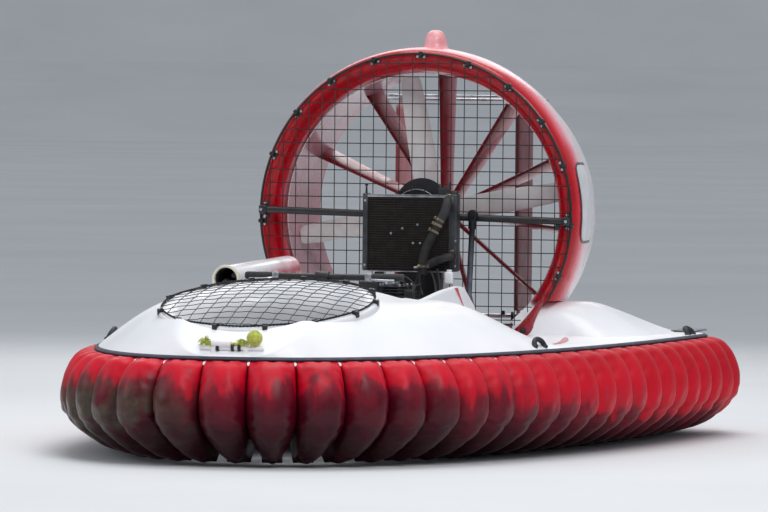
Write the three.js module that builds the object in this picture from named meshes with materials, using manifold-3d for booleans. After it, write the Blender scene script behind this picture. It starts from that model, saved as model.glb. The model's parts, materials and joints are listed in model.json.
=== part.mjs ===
import * as THREE from 'three';
import { mergeVertices } from 'three/addons/utils/BufferGeometryUtils.js';
import Module from 'manifold-3d';

// Racing hovercraft with a lift fan in the bow deck and a ducted thrust fan at the stern.
// Millimetres. The bow faces -Y, +X is the port side and +Z is up. The floor is z = 0.

const wasm = await Module();
wasm.setup();

// Driving sizes
const hullLength = 3147;          // gunwale, bow to stern
const hullHalfWidth = 939;        // gunwale, at its widest
const hullFullness = 2.37;        // exponent of the plan curve
const planShift = -2.2;           // centres the inflated skirt on the origin
const sternCornerRadius = 350;
const gunwaleHeight = 352;
const hullBottom = 175;
const bottomInset = 235;          // hull bottom edge, inboard of the gunwale
const gap = 0.4;                  // running gap between pieces that touch
const fingerCount = 58;
const fingerBulge = 118;          // skirt, outboard of the gunwale
const fingerGroove = 42;          // depth of the seam between two fingers
const tipHeight = 9;              // skirt tips above the floor

const wellHalfWidth = 326;        // cockpit and engine bay
const wellFront = -620;
const wellBack = 1300;
const wellFloor = 186;
const troughFloor = 272;          // stern trough behind the duct
const troughBack = 1430;

const fanAxisHeight = 790;        // thrust duct axis
const ductFront = 743;
const ductLength = 520;
const ductSegments = 66;
const throatRadius = 507;
const skinRadius = 598;           // widest part of the duct's outer skin
const thrustFanRadius = 499;
const thrustFanY = ductFront + 215;
const statorY = ductFront + 423;
const statorCount = 11;

const intakeCentre = new THREE.Vector3(0, -1108, 517);
const intakeTilt = THREE.MathUtils.degToRad(11.2);
const intakeRadius = 357;
const liftSegments = 36;
const liftThroatRadius = 270;
const liftFanRadius = 263;

const rudderX = 226;
const rudderPivotY = 1338;
const rudderTop = 1186;
const rudderBottom = 432;

// Materials
const paint = (color, roughness, metalness = 0) =>
  new THREE.MeshStandardMaterial({ color, roughness, metalness });
const whiteGelcoat = paint(0xf2f2f4, 0.25);
const redGelcoat = paint(0xb01228, 0.25);
const pinkGelcoat = paint(0xe8b4b8, 0.3);
const redFabric = paint(0xd8203c, 0.6);
const blackPaint = paint(0x18181b, 0.45);
const trimRubber = paint(0x33384a, 0.6);
const steel = paint(0xb9bcc0, 0.35, 0.9);
const engineGrey = paint(0x55585c, 0.5, 0.6);
const radiatorBlack = paint(0x222222, 0.6, 0.3);
const blackVinyl = paint(0x1c1c20, 0.7);
const blackRubber = paint(0x202022, 0.8);
const yellowFelt = paint(0xb8c24a, 0.9);
const darkPlastic = paint(0x26282c, 0.6);

const craft = new THREE.Group();
const upright = new THREE.Vector3(0, 0, 1);

function addMesh(name, shape, material) {
  const geometry = shape.isBufferGeometry ? shape : toGeometry(shape);
  const mesh = new THREE.Mesh(geometry, material);
  mesh.name = name;
  craft.add(mesh);
  return mesh;
}

// Solids for cutting and joining
function toSolid(geometry) {
  const bare = geometry.clone();
  bare.deleteAttribute('normal');
  bare.deleteAttribute('uv');
  const merged = mergeVertices(bare, 1e-4);
  const vertProperties = new Float32Array(merged.attributes.position.array);
  const triVerts = new Uint32Array(merged.index.array);
  return new wasm.Manifold(new wasm.Mesh({ numProp: 3, vertProperties, triVerts }));
}

function toGeometry(solid) {
  const mesh = solid.getMesh();
  const geometry = new THREE.BufferGeometry();
  geometry.setAttribute('position', new THREE.BufferAttribute(mesh.vertProperties, 3));
  geometry.setIndex(new THREE.BufferAttribute(mesh.triVerts, 1));
  return geometry;
}

function joined(...geometries) {
  return geometries.map(toSolid).reduce((whole, next) => whole.add(next));
}

function largest(solid) {
  return solid.decompose().sort((a, b) => b.volume() - a.volume())[0];
}

function highest(solid) {
  return solid.decompose().sort((a, b) => b.boundingBox().max[2] - a.boundingBox().max[2])[0];
}

// Basic shapes
function box(x0, x1, y0, y1, z0, z1) {
  const shape = new THREE.BoxGeometry(x1 - x0, y1 - y0, z1 - z0);
  return shape.translate((x0 + x1) / 2, (y0 + y1) / 2, (z0 + z1) / 2);
}

function rod(from, to, radius, sides = 12, endRadius = radius) {
  const a = new THREE.Vector3(...from);
  const b = new THREE.Vector3(...to);
  const along = b.clone().sub(a);
  const shape = new THREE.CylinderGeometry(endRadius, radius, along.length(), sides);
  const rise = new THREE.Vector3(0, 1, 0);
  const turn = new THREE.Quaternion().setFromUnitVectors(rise, along.clone().normalize());
  return shape.applyQuaternion(turn).translate(...a.add(b).multiplyScalar(0.5).toArray());
}

function circleSection(radius, sides) {
  const section = new THREE.Shape();
  for (let i = 0; i < sides; i += 1) {
    const angle = (i / sides) * 2 * Math.PI;
    const point = [radius * Math.cos(angle), radius * Math.sin(angle)];
    if (i === 0) section.moveTo(...point);
    else section.lineTo(...point);
  }
  section.closePath();
  return section;
}

function tube(points, radius, steps, sides = 8) {
  const path = new THREE.CatmullRomCurve3(points.map((p) => new THREE.Vector3(...p)), false, 'centripetal');
  return new THREE.ExtrudeGeometry(circleSection(radius, sides), {
    steps, extrudePath: path, bevelEnabled: false, curveSegments: 1,
  });
}

// A lathe about the Y axis at the thrust duct's centre: points are [radius, y].
function latheY(points, segments, centre = [0, 0, fanAxisHeight]) {
  const shape = new THREE.LatheGeometry(points.map(([r, y]) => new THREE.Vector2(r, y)), segments);
  return shape.translate(...centre);
}

// A lathe about the tilted lift axis: points are [radius, height along the axis].
function latheLift(points, segments) {
  const shape = new THREE.LatheGeometry(points.map(([r, t]) => new THREE.Vector2(r, t)), segments);
  return shape.rotateX(Math.PI / 2 + intakeTilt).translate(...intakeCentre.toArray());
}

// A skin through rings of equal point counts, capped at both ends or joined into a loop.
function loft(rings, loop = false) {
  const count = rings[0].length;
  const positions = rings.flat(2);
  const index = [];
  const bands = loop ? rings.length : rings.length - 1;
  for (let i = 0; i < bands; i += 1) {
    const next = (i + 1) % rings.length;
    for (let j = 0; j < count; j += 1) {
      const k = (j + 1) % count;
      const a = i * count + j;
      const b = i * count + k;
      const c = next * count + k;
      const d = next * count + j;
      index.push(a, b, c, a, c, d);
    }
  }
  if (!loop) {
    for (const [ring, flip] of [[0, true], [rings.length - 1, false]]) {
      const base = ring * count;
      const flat = flatten(rings[ring]);
      for (const [a, b, c] of THREE.ShapeUtils.triangulateShape(flat, [])) {
        if (flip) index.push(base + c, base + b, base + a);
        else index.push(base + a, base + b, base + c);
      }
    }
  }
  const geometry = new THREE.BufferGeometry();
  geometry.setAttribute('position', new THREE.Float32BufferAttribute(positions, 3));
  geometry.setIndex(index);
  return facingOut(geometry);
}

// A ring's points in its own plane, turning the same way as the ring does.
function flatten(ring) {
  const points = ring.map((p) => new THREE.Vector3(...p));
  const centre = points.reduce((sum, p) => sum.add(p), new THREE.Vector3()).divideScalar(points.length);
  const normal = new THREE.Vector3();
  points.forEach((p, i) => {
    const q = points[(i + 1) % points.length];
    normal.add(p.clone().sub(centre).cross(q.clone().sub(centre)));
  });
  normal.normalize();
  const side = points[0].clone().sub(centre);
  side.addScaledVector(normal, -side.dot(normal)).normalize();
  const up = normal.clone().cross(side);
  return points.map((p) => new THREE.Vector2(p.clone().sub(centre).dot(side), p.clone().sub(centre).dot(up)));
}

function facingOut(geometry) {
  const p = geometry.attributes.position;
  const index = geometry.index.array;
  const [a, b, c] = [0, 1, 2].map(() => new THREE.Vector3());
  let volume = 0;
  for (let i = 0; i < index.length; i += 3) {
    a.fromBufferAttribute(p, index[i]);
    b.fromBufferAttribute(p, index[i + 1]);
    c.fromBufferAttribute(p, index[i + 2]);
    volume += a.dot(b.cross(c));
  }
  if (volume < 0) {
    for (let i = 0; i < index.length; i += 3) [index[i], index[i + 1]] = [index[i + 1], index[i]];
  }
  return geometry;
}

// Plan outline: seam stations, counted from just port of the bow centre, anticlockwise to port.
function outlinePoints() {
  const stern = hullLength / 2 + planShift;
  const points = [];
  for (let i = 0; i <= 400; i += 1) {
    const t = (i / 400) * (Math.PI / 2);
    const x = hullHalfWidth * Math.sin(t) ** (2 / hullFullness);
    const y = stern - hullLength * Math.cos(t) ** (2 / hullFullness);
    if (y < stern - sternCornerRadius) points.push([x, y]);
  }
  for (let i = 0; i <= 40; i += 1) {
    const t = (i / 40) * (Math.PI / 2);
    const inset = hullHalfWidth - sternCornerRadius;
    points.push([inset + sternCornerRadius * Math.cos(t), stern - sternCornerRadius * (1 - Math.sin(t))]);
  }
  points.push([0, stern]);
  return points;
}

function seamStations() {
  const points = outlinePoints();
  const lengths = [0];
  for (let i = 1; i < points.length; i += 1) {
    const step = Math.hypot(points[i][0] - points[i - 1][0], points[i][1] - points[i - 1][1]);
    lengths.push(lengths[i - 1] + step);
  }
  const half = lengths[lengths.length - 1];
  const spacing = (2 * half) / fingerCount;
  const port = [];
  for (let k = 0; k < fingerCount / 2; k += 1) {
    const along = (k + 0.5) * spacing;
    let i = 1;
    while (lengths[i] < along) i += 1;
    const f = (along - lengths[i - 1]) / (lengths[i] - lengths[i - 1]);
    port.push([0, 1].map((axis) => points[i - 1][axis] + f * (points[i][axis] - points[i - 1][axis])));
  }
  const starboard = port.map(([x, y]) => [-x, y]).reverse();
  const loop = [...port, ...starboard];
  return loop.map((point, i) => {
    const before = loop[(i + loop.length - 1) % loop.length];
    const after = loop[(i + 1) % loop.length];
    const along = [after[0] - before[0], after[1] - before[1]];
    const size = Math.hypot(...along);
    return { point, normal: [along[1] / size, -along[0] / size] };
  });
}

const stations = seamStations();
const portStations = stations.slice(0, fingerCount / 2);

function offsetPoint(station, out, z) {
  const { point, normal } = station;
  return [point[0] + out * normal[0], point[1] + out * normal[1], z];
}

// Between two seams the base runs along the straight chord, so that neighbours fit face to face.
function between(a, b, f) {
  const mix = (p, q) => p.map((value, i) => value + f * (q[i] - value));
  return { point: mix(a.point, b.point), normal: mix(a.normal, b.normal) };
}

// A round grille with square holes, flat on z = 0: half is half a wire's width
function lattice(radius, pitch, half, border, depth) {
  const centre = new THREE.Vector2();
  const askew = 0.37;             // the flat shape is turned, so that no two holes line up in it
  const turned = ([x, y]) => new THREE.Vector2(x, y).rotateAround(centre, askew);
  const edge = circleSection(radius, 48).getPoints().slice(0, 48);
  const rim = new THREE.Shape(edge.map(({ x, y }) => turned([x, y])));
  const inside = circleSection(radius - border, 48).getPoints().slice(0, 48);
  const reach = Math.ceil(radius / pitch);
  for (let i = -reach; i < reach; i += 1) {
    for (let j = -reach; j < reach; j += 1) {
      const [x0, x1] = [i * pitch + half, (i + 1) * pitch - half];
      const [y0, y1] = [j * pitch + half, (j + 1) * pitch - half];
      const cell = clipped([[x0, y0], [x1, y0], [x1, y1], [x0, y1]], inside);
      if (cell.length > 2 && area(cell) > 30) rim.holes.push(new THREE.Path(cell.map(turned)));
    }
  }
  return new THREE.ExtrudeGeometry(rim, { depth, bevelEnabled: false }).rotateZ(-askew);
}

function area(polygon) {
  return polygon.reduce((sum, [x, y], i) => {
    const [u, v] = polygon[(i + 1) % polygon.length];
    return sum + (x * v - u * y) / 2;
  }, 0);
}

// A convex polygon cut to the inside of another, both anticlockwise
function clipped(polygon, outline) {
  let kept = polygon;
  outline.forEach((a, i) => {
    const b = outline[(i + 1) % outline.length];
    const side = ([x, y]) => (b.x - a.x) * (y - a.y) - (b.y - a.y) * (x - a.x);
    const next = [];
    kept.forEach((p, k) => {
      const q = kept[(k + 1) % kept.length];
      const [sp, sq] = [side(p), side(q)];
      if (sp >= 0) next.push(p);
      if (sp * sq < 0) next.push([0, 1].map((axis) => p[axis] + (sp / (sp - sq)) * (q[axis] - p[axis])));
    });
    kept = next;
  });
  return kept.filter((p, k) => {
    const q = kept[(k + 1) % kept.length];
    return Math.hypot(p[0] - q[0], p[1] - q[1]) > 0.05;
  });
}

// Lower hull
const hullRings = [
  [-bottomInset, hullBottom],
  [0, gunwaleHeight - 5],
  [0, gunwaleHeight],
].map(([out, z]) => stations.map((station) => offsetPoint(station, out, z)));
const well = toSolid(box(-wellHalfWidth, wellHalfWidth, wellFront, wellBack + 1, wellFloor, 900))
  .add(toSolid(box(-wellHalfWidth, wellHalfWidth, wellBack, troughBack, troughFloor, 900)));
const liftWall = liftThroatRadius + 8;
const liftBore = liftWall + gap;
const liftBoreProfile = [[0, -700], [liftBore, -700], [liftBore, 300], [0, 300]];
const liftBoreLow = toSolid(latheLift(liftBoreProfile, liftSegments));
const ductBack = ductFront + ductLength;
const ductEnvelope = toSolid(latheY([
  [0, ductFront - 60], [skinRadius + gap, ductFront - 60], [skinRadius + gap, ductFront + 190],
  [532, ductBack + 1], [532, ductBack + 70], [0, ductBack + 70],
], ductSegments));
const hullSolid = toSolid(loft(hullRings)).subtract(well).subtract(liftBoreLow).subtract(ductEnvelope);
// Hull and deck are moulded in three parts: the bow, and a port and a starboard side
const mouldings = {
  bow: toSolid(box(-1200, 1200, -2000, wellFront, 0, 900)),
  port: toSolid(box(gap / 2, 1200, wellFront + gap, 2000, 0, 900)),
  starboard: toSolid(box(-1200, -gap / 2, wellFront + gap, 2000, 0, 900)),
};
Object.entries(mouldings).forEach(([side, part]) => addMesh(`hull_${side}`, hullSolid.intersect(part), whiteGelcoat));

// Deck: cross sections at the seam stations, rising to a domed cowl in front of the cockpit
const deckEdge = gunwaleHeight + gap;
const rimHeight = 363;
const smooth = (t) => {
  const u = Math.min(1, Math.max(0, t));
  return u * u * (3 - 2 * u);
};

function deckHeight(x, y, halfWidth) {
  const ahead = y + hullLength / 2;
  const inboard = Math.min(halfWidth - Math.abs(x), ahead * 1.05);
  const shoulder = Math.sin(Math.min(1, inboard / 330) * Math.PI / 2);
  const crown = 50 * Math.max(0, 1 - (x / 340) ** 2) * smooth((y + 1400) / 550);
  const behind = 1 - smooth((y + 530 + 95 * Math.abs(x) / 760) / 548);
  const aft = 3 * smooth(inboard / 420);
  return rimHeight + behind * (166 * shoulder + crown) + (1 - behind) * aft;
}

const deckSteps = [1, 0.93, 0.84, 0.74, 0.62, 0.48, 0.34, 0.2, 0.07];
const deckRings = portStations.map(({ point: [half, y] }) => {
  const top = [...deckSteps, ...deckSteps.slice().reverse().map((u) => -u)];
  const ring = top.map((u) => [u * half, y, deckHeight(u * half, y, half)]);
  return [[half, y, deckEdge], ...ring, [-half, y, deckEdge]];
});
const rimOuter = intakeRadius + 15;
const intakeCutter = toSolid(latheLift([[0, -700], [liftBore, -700], [liftBore, -80 - gap],
  [rimOuter + gap, -80 - gap], [rimOuter + gap, 300], [0, 300]], liftSegments));
const deckWhole = toSolid(loft(deckRings)).subtract(well).subtract(ductEnvelope).subtract(intakeCutter);
Object.entries(mouldings).forEach(([side, part]) => addMesh(`deck_${side}`, deckWhole.intersect(part), whiteGelcoat));

// Raised fairings either side of the duct, seated on the aft deck
// Columns: y, height at the duct, outer edge, outer knee
const fairingTable = [
  [752, 400, 560, 480],
  [764, 452, 640, 500],
  [800, 480, 742, 540],
  [880, 485, 800, 580],
  [1060, 482, 812, 590],
  [1263, 466, 800, 570],
  [1440, 430, 770, 540],
  [1540, 392, 650, 480],
];
const fairingInner = 356;
const fairingFoot = 357;
const fairingRings = fairingTable.map(([y, top, outer, knee]) => {
  const slope = top - fairingFoot;
  return [
    [fairingInner, y, fairingFoot], [fairingInner, y, top], [knee, y, top],
    [knee + 0.4 * (outer - knee), y, fairingFoot + 0.78 * slope],
    [knee + 0.75 * (outer - knee), y, fairingFoot + 0.36 * slope],
    [outer, y, fairingFoot],
  ];
});
const barrelOuter = throatRadius + 7;
const barrelEnvelope = toSolid(latheY([[0, ductFront - 60], [barrelOuter + gap, ductFront - 60],
  [barrelOuter + gap, ductBack + gap], [0, ductBack + gap]], ductSegments));
const ductCut = 487;              // below this height the duct is a plain barrel
const deckLifted = deckWhole.translate(0, 0, gap);
const fairingBody = largest(toSolid(loft(fairingRings)).subtract(barrelEnvelope).subtract(deckLifted));
const fairings = { port: fairingBody, starboard: fairingBody.mirror([1, 0, 0]) };
Object.entries(fairings).forEach(([side, solid]) => addMesh(`duct_fairing_${side}`, solid, whiteGelcoat));

// Open-ended air tube along the starboard coaming
const tubeX = -350;
const tubeMouth = [tubeX, -447, 583];
const tubeEnd = [tubeX, 320, 600];
const tubeRadius = 47;
const tubeOuter = toSolid(rod(tubeMouth, tubeEnd, tubeRadius, 24));
const tubeBore = toSolid(rod([tubeX, -450, 583], [tubeX, 100, 594], tubeRadius - 6, 24));
addMesh('side_tube', tubeOuter.subtract(tubeBore), whiteGelcoat);

// Cockpit coamings: the starboard one is hollowed along its top for the air tube
const coamingOutline = [[-560, 400], [-548, 505], [-443, 527], [-255, 545], [-110, 555], [-31, 559], [88, 550],
  [226, 480], [250, 350]];
const coamingShape = new THREE.Shape(coamingOutline.map(([y, z]) => new THREE.Vector2(y, z)));
const coamingThickness = 24;
const tubeSeat = toSolid(rod([tubeX, -700, 577.4], [tubeX, 400, 601.8], tubeRadius + gap, 24));
for (const [side, sign] of [['port', 1], ['starboard', -1]]) {
  const plate = new THREE.ExtrudeGeometry(coamingShape, { depth: coamingThickness, bevelEnabled: false });
  plate.rotateX(Math.PI / 2).rotateZ(Math.PI / 2);
  plate.translate(sign * (wellHalfWidth + 24) - coamingThickness / 2, 0, 0);
  const seated = toSolid(plate).subtract(deckWhole.translate(0, 0, gap)).subtract(tubeSeat);
  addMesh(`cockpit_coaming_${side}`, largest(seated), whiteGelcoat);
}

// Rubbing strip round the gunwale
const trimSection = [[0.5, 345.9], [15, 348], [18, 357], [12, 366], [0.5, 367]];
const trimRings = stations.map((station) => trimSection.map(([out, z]) => offsetPoint(station, out, z)));
addMesh('gunwale_trim', loft(trimRings, true), trimRubber);

// Inflated skirt fingers. Columns: outboard of the gunwale, height, share of the groove
const fingerProfile = [
  [-1.2, 345.2, 0],
  [60, 327, 0.7],
  [104, 270, 1],
  [fingerBulge, 198, 1],
  [96, 128, 1],
  [-105, tipHeight, 0.2],
  [-137, tipHeight, 0],
  [-235, 172, 0],
];
// Columns: place between two seams, share of the groove's depth
const fingerSteps = [[0, 1], [0.2, 0.2], [0.5, 0], [0.8, 0.2]];
const seamGap = 0.003;

function skirtRun(first, count) {
  const rings = [];
  for (let k = first; k < first + count; k += 1) {
    const a = stations[(k + fingerCount - 1) % fingerCount];
    const b = stations[k % fingerCount];
    for (const [place, groove] of fingerSteps) {
      const f = k === first && place === 0 ? seamGap : place;
      rings.push(fingerRing(between(a, b, f), groove));
    }
    if (k === first + count - 1) rings.push(fingerRing(between(a, b, 1 - seamGap), 1));
  }
  return loft(rings);
}

function fingerRing(station, groove) {
  return fingerProfile.map(([out, z, share]) => offsetPoint(station, out - share * groove * fingerGroove, z));
}

// Columns: name, first finger counted from the bow centre to port, number of fingers
const skirtRuns = [
  ['bow', fingerCount - 2, 5],
  ['bow_port', 3, 7],
  ['side_port', 10, 9],
  ['quarter_port', 19, 6],
  ['stern', 25, 9],
  ['quarter_starboard', 34, 6],
  ['side_starboard', 40, 9],
  ['bow_starboard', 49, 7],
];
skirtRuns.forEach(([name, first, count]) => addMesh(`skirt_${name}`, skirtRun(first, count), redFabric));

// Landing runners under the hull
const runnerX = 300;
const runnerShape = new THREE.Shape([[-640, 0], [780, 0], [920, hullBottom - gap], [-800, hullBottom - gap]]
  .map(([y, z]) => new THREE.Vector2(y, z)));
for (const [side, sign] of [['port', 1], ['starboard', -1]]) {
  const runner = new THREE.ExtrudeGeometry(runnerShape, { depth: 64, bevelEnabled: false });
  runner.rotateX(Math.PI / 2).rotateZ(Math.PI / 2).translate(sign * runnerX - 32, 0, 0);
  addMesh(`landing_runner_${side}`, runner, darkPlastic);
}

// Thrust duct: bell mouth and outer skin above, plain barrel below
const ductProfile = [
  [0, 520], [0, 95], [5, 60], [17, 28], [38, 7], [58, 0], [73, 4], [83, 22],
  [90, 70], [91, 130], [85, 200], [65, 300], [42, 400], [24, 520],
].map(([out, y]) => [throatRadius + out, ductFront + y]);
const ductRound = toSolid(latheY([...ductProfile, ductProfile[0]], ductSegments));
const aboveCut = toSolid(box(-900, 900, 0, 2000, ductCut + gap, 1600));
const barrelFront = ductFront + 95;
const barrelProfile = [[throatRadius, ductBack], [throatRadius, barrelFront], [barrelOuter, barrelFront],
  [barrelOuter, ductBack], [throatRadius, ductBack]];
const duct = ductRound.intersect(aboveCut).add(toSolid(latheY(barrelProfile, ductSegments)));
addMesh('thrust_duct', duct, redGelcoat);

// Feet: the bell mouth's lip carried down to the deck either side
const footRing = { inner: 541, outer: 596, front: ductFront + 5, back: ductFront + 44, endX: 364 };
const { inner: footInner, outer: footOuter, front: footFront, back: footBack } = footRing;
const footLathe = toSolid(latheY([[footInner, footFront], [footOuter, footFront], [footOuter, footBack],
  [footInner, footBack], [footInner, footFront]], ductSegments));
for (const [side, sign] of [['port', 1], ['starboard', -1]]) {
  const ends = [sign * footRing.endX, sign * 700].sort((a, b) => a - b);
  const foot = footLathe.intersect(toSolid(box(...ends, 700, 900, 300, ductCut)));
  const body = foot.subtract(fairings[side]).subtract(deckWhole.translate(0, 0, gap));
  addMesh(`duct_foot_${side}`, largest(body), redGelcoat);
}

// Bulkheads that carry the barrel in the engine bay
for (const [place, y] of [['front', ductFront + 130], ['rear', ductFront + 470]]) {
  const plate = toSolid(box(-wellHalfWidth + gap, wellHalfWidth - gap, y, y + 18, wellFloor + gap, 340));
  addMesh(`duct_bulkhead_${place}`, plate.subtract(barrelEnvelope), whiteGelcoat);
}

// Stator vanes on a hub behind the thrust fan
const statorHubRadius = 62;
const vaneTip = throatRadius - 1.6;
function vane(angle) {
  const rings = [[statorHubRadius - 8, 58, 8], [vaneTip, 68, 14]].map(([r, halfChord, stagger]) => {
    const s = THREE.MathUtils.degToRad(stagger);
    const along = [Math.sin(s), Math.cos(s)];
    const corner = (u, v) => {
      const x = u * along[0] + v * along[1];
      const y = u * along[1] - v * along[0];
      return new THREE.Vector3(x, y, r);
    };
    return [corner(-halfChord, 0), corner(0, 8), corner(halfChord, 0), corner(0, -8)];
  });
  const turned = rings.map((ring) => ring.map((p) => p.applyAxisAngle(new THREE.Vector3(0, 1, 0), angle)
    .add(new THREE.Vector3(0, statorY, fanAxisHeight)).toArray()));
  return loft(turned);
}
const statorHub = latheY([[0, statorY - 66], [statorHubRadius, statorY - 66], [statorHubRadius, statorY + 50],
  [30, statorY + 110], [0, statorY + 118]], 22);
const vanes = Array.from({ length: statorCount }, (_, k) => vane((k / statorCount) * 2 * Math.PI));
addMesh('stator_vanes', joined(statorHub, ...vanes), redGelcoat);

// Fan rotors: hub with twisted blades, about +Z, then turned to their axes
function rotor({ hub, hubRadius, tip, count, turn, rootChord, tipChord, rootPitch, tipPitch, thickness }) {
  const blades = Array.from({ length: count }, (_, k) => {
    const rings = [0, 0.5, 1].map((f) => {
      const r = hubRadius - 8 + f * (tip - hubRadius + 8);
      const chord = rootChord + f * (tipChord - rootChord);
      const pitch = THREE.MathUtils.degToRad(rootPitch + f * (tipPitch - rootPitch));
      const t = thickness * (1 - 0.5 * f);
      return [[-0.5, 0], [-0.1, t / 2], [0.5, 0], [-0.1, -t / 2]].map(([u, v]) => {
        const across = u * chord * Math.cos(pitch) - v * Math.sin(pitch);
        const axial = u * chord * Math.sin(pitch) + v * Math.cos(pitch);
        const p = new THREE.Vector3(r, across, axial);
        return p.applyAxisAngle(upright, turn + (k / count) * 2 * Math.PI).toArray();
      });
    });
    return loft(rings);
  });
  return joined(hub, ...blades);
}

// Thrust fan: shaft, driven pulley and hub turned in one, with four blades
const shaftFront = ductFront + 2.4;
const shaftBack = statorY - 66 - gap;
const pulleyRadius = 92;
const hubRadius = 78;
const fanCore = [
  [0, shaftFront], [16, shaftFront], [16, 795], [pulleyRadius, 795], [pulleyRadius, 835], [16, 835],
  [16, thrustFanY - 42], [hubRadius, thrustFanY - 42], [hubRadius, thrustFanY + 42], [16, thrustFanY + 42],
  [16, shaftBack], [0, shaftBack],
].map(([r, y]) => new THREE.Vector2(r, thrustFanY - y));
const thrustRotor = rotor({
  hub: new THREE.LatheGeometry(fanCore.reverse(), 24).rotateX(Math.PI / 2), hubRadius,
  tip: thrustFanRadius, count: 4, turn: THREE.MathUtils.degToRad(100),
  rootChord: 100, tipChord: 72, rootPitch: 42, tipPitch: 20, thickness: 16,
}).rotate([90, 0, 0]).translate(0, thrustFanY, fanAxisHeight);
addMesh('thrust_fan', thrustRotor, blackPaint);

// Fan guard: hoop with clips, and a lattice of wires
const guardY = ductFront - 14;
const hoopRadius = 575;
const wirePitch = 100;
const wire = 2;
const hoopSection = [];
for (let i = 0; i <= 5; i += 1) {
  const a = (i / 5) * 2 * Math.PI;
  hoopSection.push([hoopRadius + 6 * Math.cos(a), guardY + 6 * Math.sin(a)]);
}
const guardFoot = 400;
const hoop = toSolid(latheY(hoopSection, 36)).intersect(toSolid(box(-700, 700, 600, 800, ductCut, 1500)));
const wide = toSolid(latheY([[0, 600], [hoopRadius, 600], [hoopRadius, 800], [0, 800]], 48))
  .intersect(toSolid(box(-700, 700, 600, 800, ductCut, 1500)));
const narrow = toSolid(latheY([[0, 600], [541, 600], [541, 800], [0, 800]], 48))
  .intersect(toSolid(box(-700, 700, 600, 800, guardFoot - 1, ductCut + 1)));
const boss = { radius: 36, front: ductFront - 45, back: ductFront + 2 };
const bossHole = toSolid(rod([0, 600, fanAxisHeight], [0, 800, fanAxisHeight], boss.radius + 4, 20));
const footBar = toSolid(box(-365, 365, guardY - 4, guardY + 4, guardFoot - 2, guardFoot + 6));
const clipAngles = [-23, -3, 18, 40, 62, 76, 90, 106, 124, 142, 160, 183, 203];
const clips = clipAngles.map((degrees) => {
  const clip = box(hoopRadius - 12, hoopRadius + 8, guardY - 9, ductFront - 0.6, -9, 9);
  return toSolid(clip.rotateY(-THREE.MathUtils.degToRad(degrees)).translate(0, 0, fanAxisHeight));
});
const wires = lattice(hoopRadius + 1, wirePitch, wire, 2 * wire, 2 * wire).rotateX(Math.PI / 2)
  .translate(0, guardY + wire, fanAxisHeight);
const mesh = toSolid(wires).intersect(wide.add(narrow)).subtract(bossHole);
const guard = clips.reduce((whole, clip) => whole.add(clip.subtract(ductRound)), mesh.add(hoop).add(footBar));
addMesh('fan_guard', guard, blackPaint);

// Crossbar that carries the fan shaft's front bearing
const crossbarY = ductFront - 31;
const crossbarEnds = [[-560, crossbarY, 801], [560, crossbarY, 773]];
const crossbar = [rod(...crossbarEnds, 12.5, 12),
  rod([0, boss.front, fanAxisHeight], [0, boss.back, fanAxisHeight], boss.radius, 20)];
crossbarEnds.forEach(([x, y, z]) => {
  crossbar.push(box(x - 12, x + 12, y - 16, ductFront + 20, z - 13, z + 13));
});
const crossbarSolid = joined(...crossbar).subtract(toSolid(latheY(
  [...ductProfile, ductProfile[0]].map(([r, y]) => [r, y - 0.5]), ductSegments)));
addMesh('crossbar', largest(crossbarSolid).subtract(guard), blackPaint);

// Strut from the crossbar to the engine bay floor
const strut = [rod([226, crossbarY - 30, 790], [200, crossbarY - 26, wellFloor + gap + 4], 11, 10),
  box(212, 240, crossbarY - 43, crossbarY - 13, 764, 798),
  box(180, 220, crossbarY - 46, crossbarY - 6, wellFloor + gap, wellFloor + 8)];
addMesh('crossbar_strut', joined(...strut), darkPlastic);

// Belt cover in front of the fan pulley
const coverShape = new THREE.Shape();
coverShape.absarc(0, 812, 108, 0, Math.PI, false);
coverShape.absarc(0, 420, 70, Math.PI, 2 * Math.PI, false);
const cover = new THREE.ExtrudeGeometry(coverShape, { depth: 6, bevelEnabled: false, curveSegments: 14 });
cover.rotateX(Math.PI / 2).translate(0, ductFront + 36, 0);
const coverHole = toSolid(rod([0, 600, fanAxisHeight], [0, 900, fanAxisHeight], 24, 16));
const coverLeg = toSolid(box(-30, 30, ductFront + 30, ductFront + 36, wellFloor + gap, 430));
addMesh('belt_cover', toSolid(cover).subtract(coverHole).add(coverLeg), blackPaint);

// Engine, its rails, radiator and hoses
const engine = [box(-140, 140, 330, 585, 232.4, 500), box(-105, 105, 350, 560, 499, 580)];
addMesh('engine_block', joined(...engine), engineGrey);
const railX = 110;
const frame = [-railX, railX].flatMap((x) => [
  box(x - 18, x + 18, 290, 690, wellFloor + gap, 232),
  box(x - 14, x + 14, 640, 668, 231, 586 - gap),
]);
frame.push(box(-railX, railX, 294, 318, 200, 226), box(-railX, railX, 644, 664, 400, 424));
addMesh('engine_frame', joined(...frame), blackPaint);
const radiator = [
  box(-150, 152, 636, 672, 586, 862),
  box(-168, -148, 630, 678, 590, 866),
  box(150, 182, 630, 678, 590, 866),
];
addMesh('radiator', joined(...radiator), radiatorBlack);
const hoseUpper = tube([[150, 629.6, 842], [150, 612, 842], [120, 590, 802], [94, 572, 740], [80, 552, 672],
  [78, 545, 620], [78, 545, 580.4]], 17, 12);
addMesh('hose_upper', hoseUpper, blackRubber);
const hoseLower = tube([[165, 629.6, 640], [165, 612, 640], [128, 605, 614], [84, 607, 566], [54, 610, 512],
  [41, 607, 474], [40, 600, 460], [40, 585.4, 460]], 15, 14);
addMesh('hose_lower', hoseLower, blackRubber);

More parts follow.
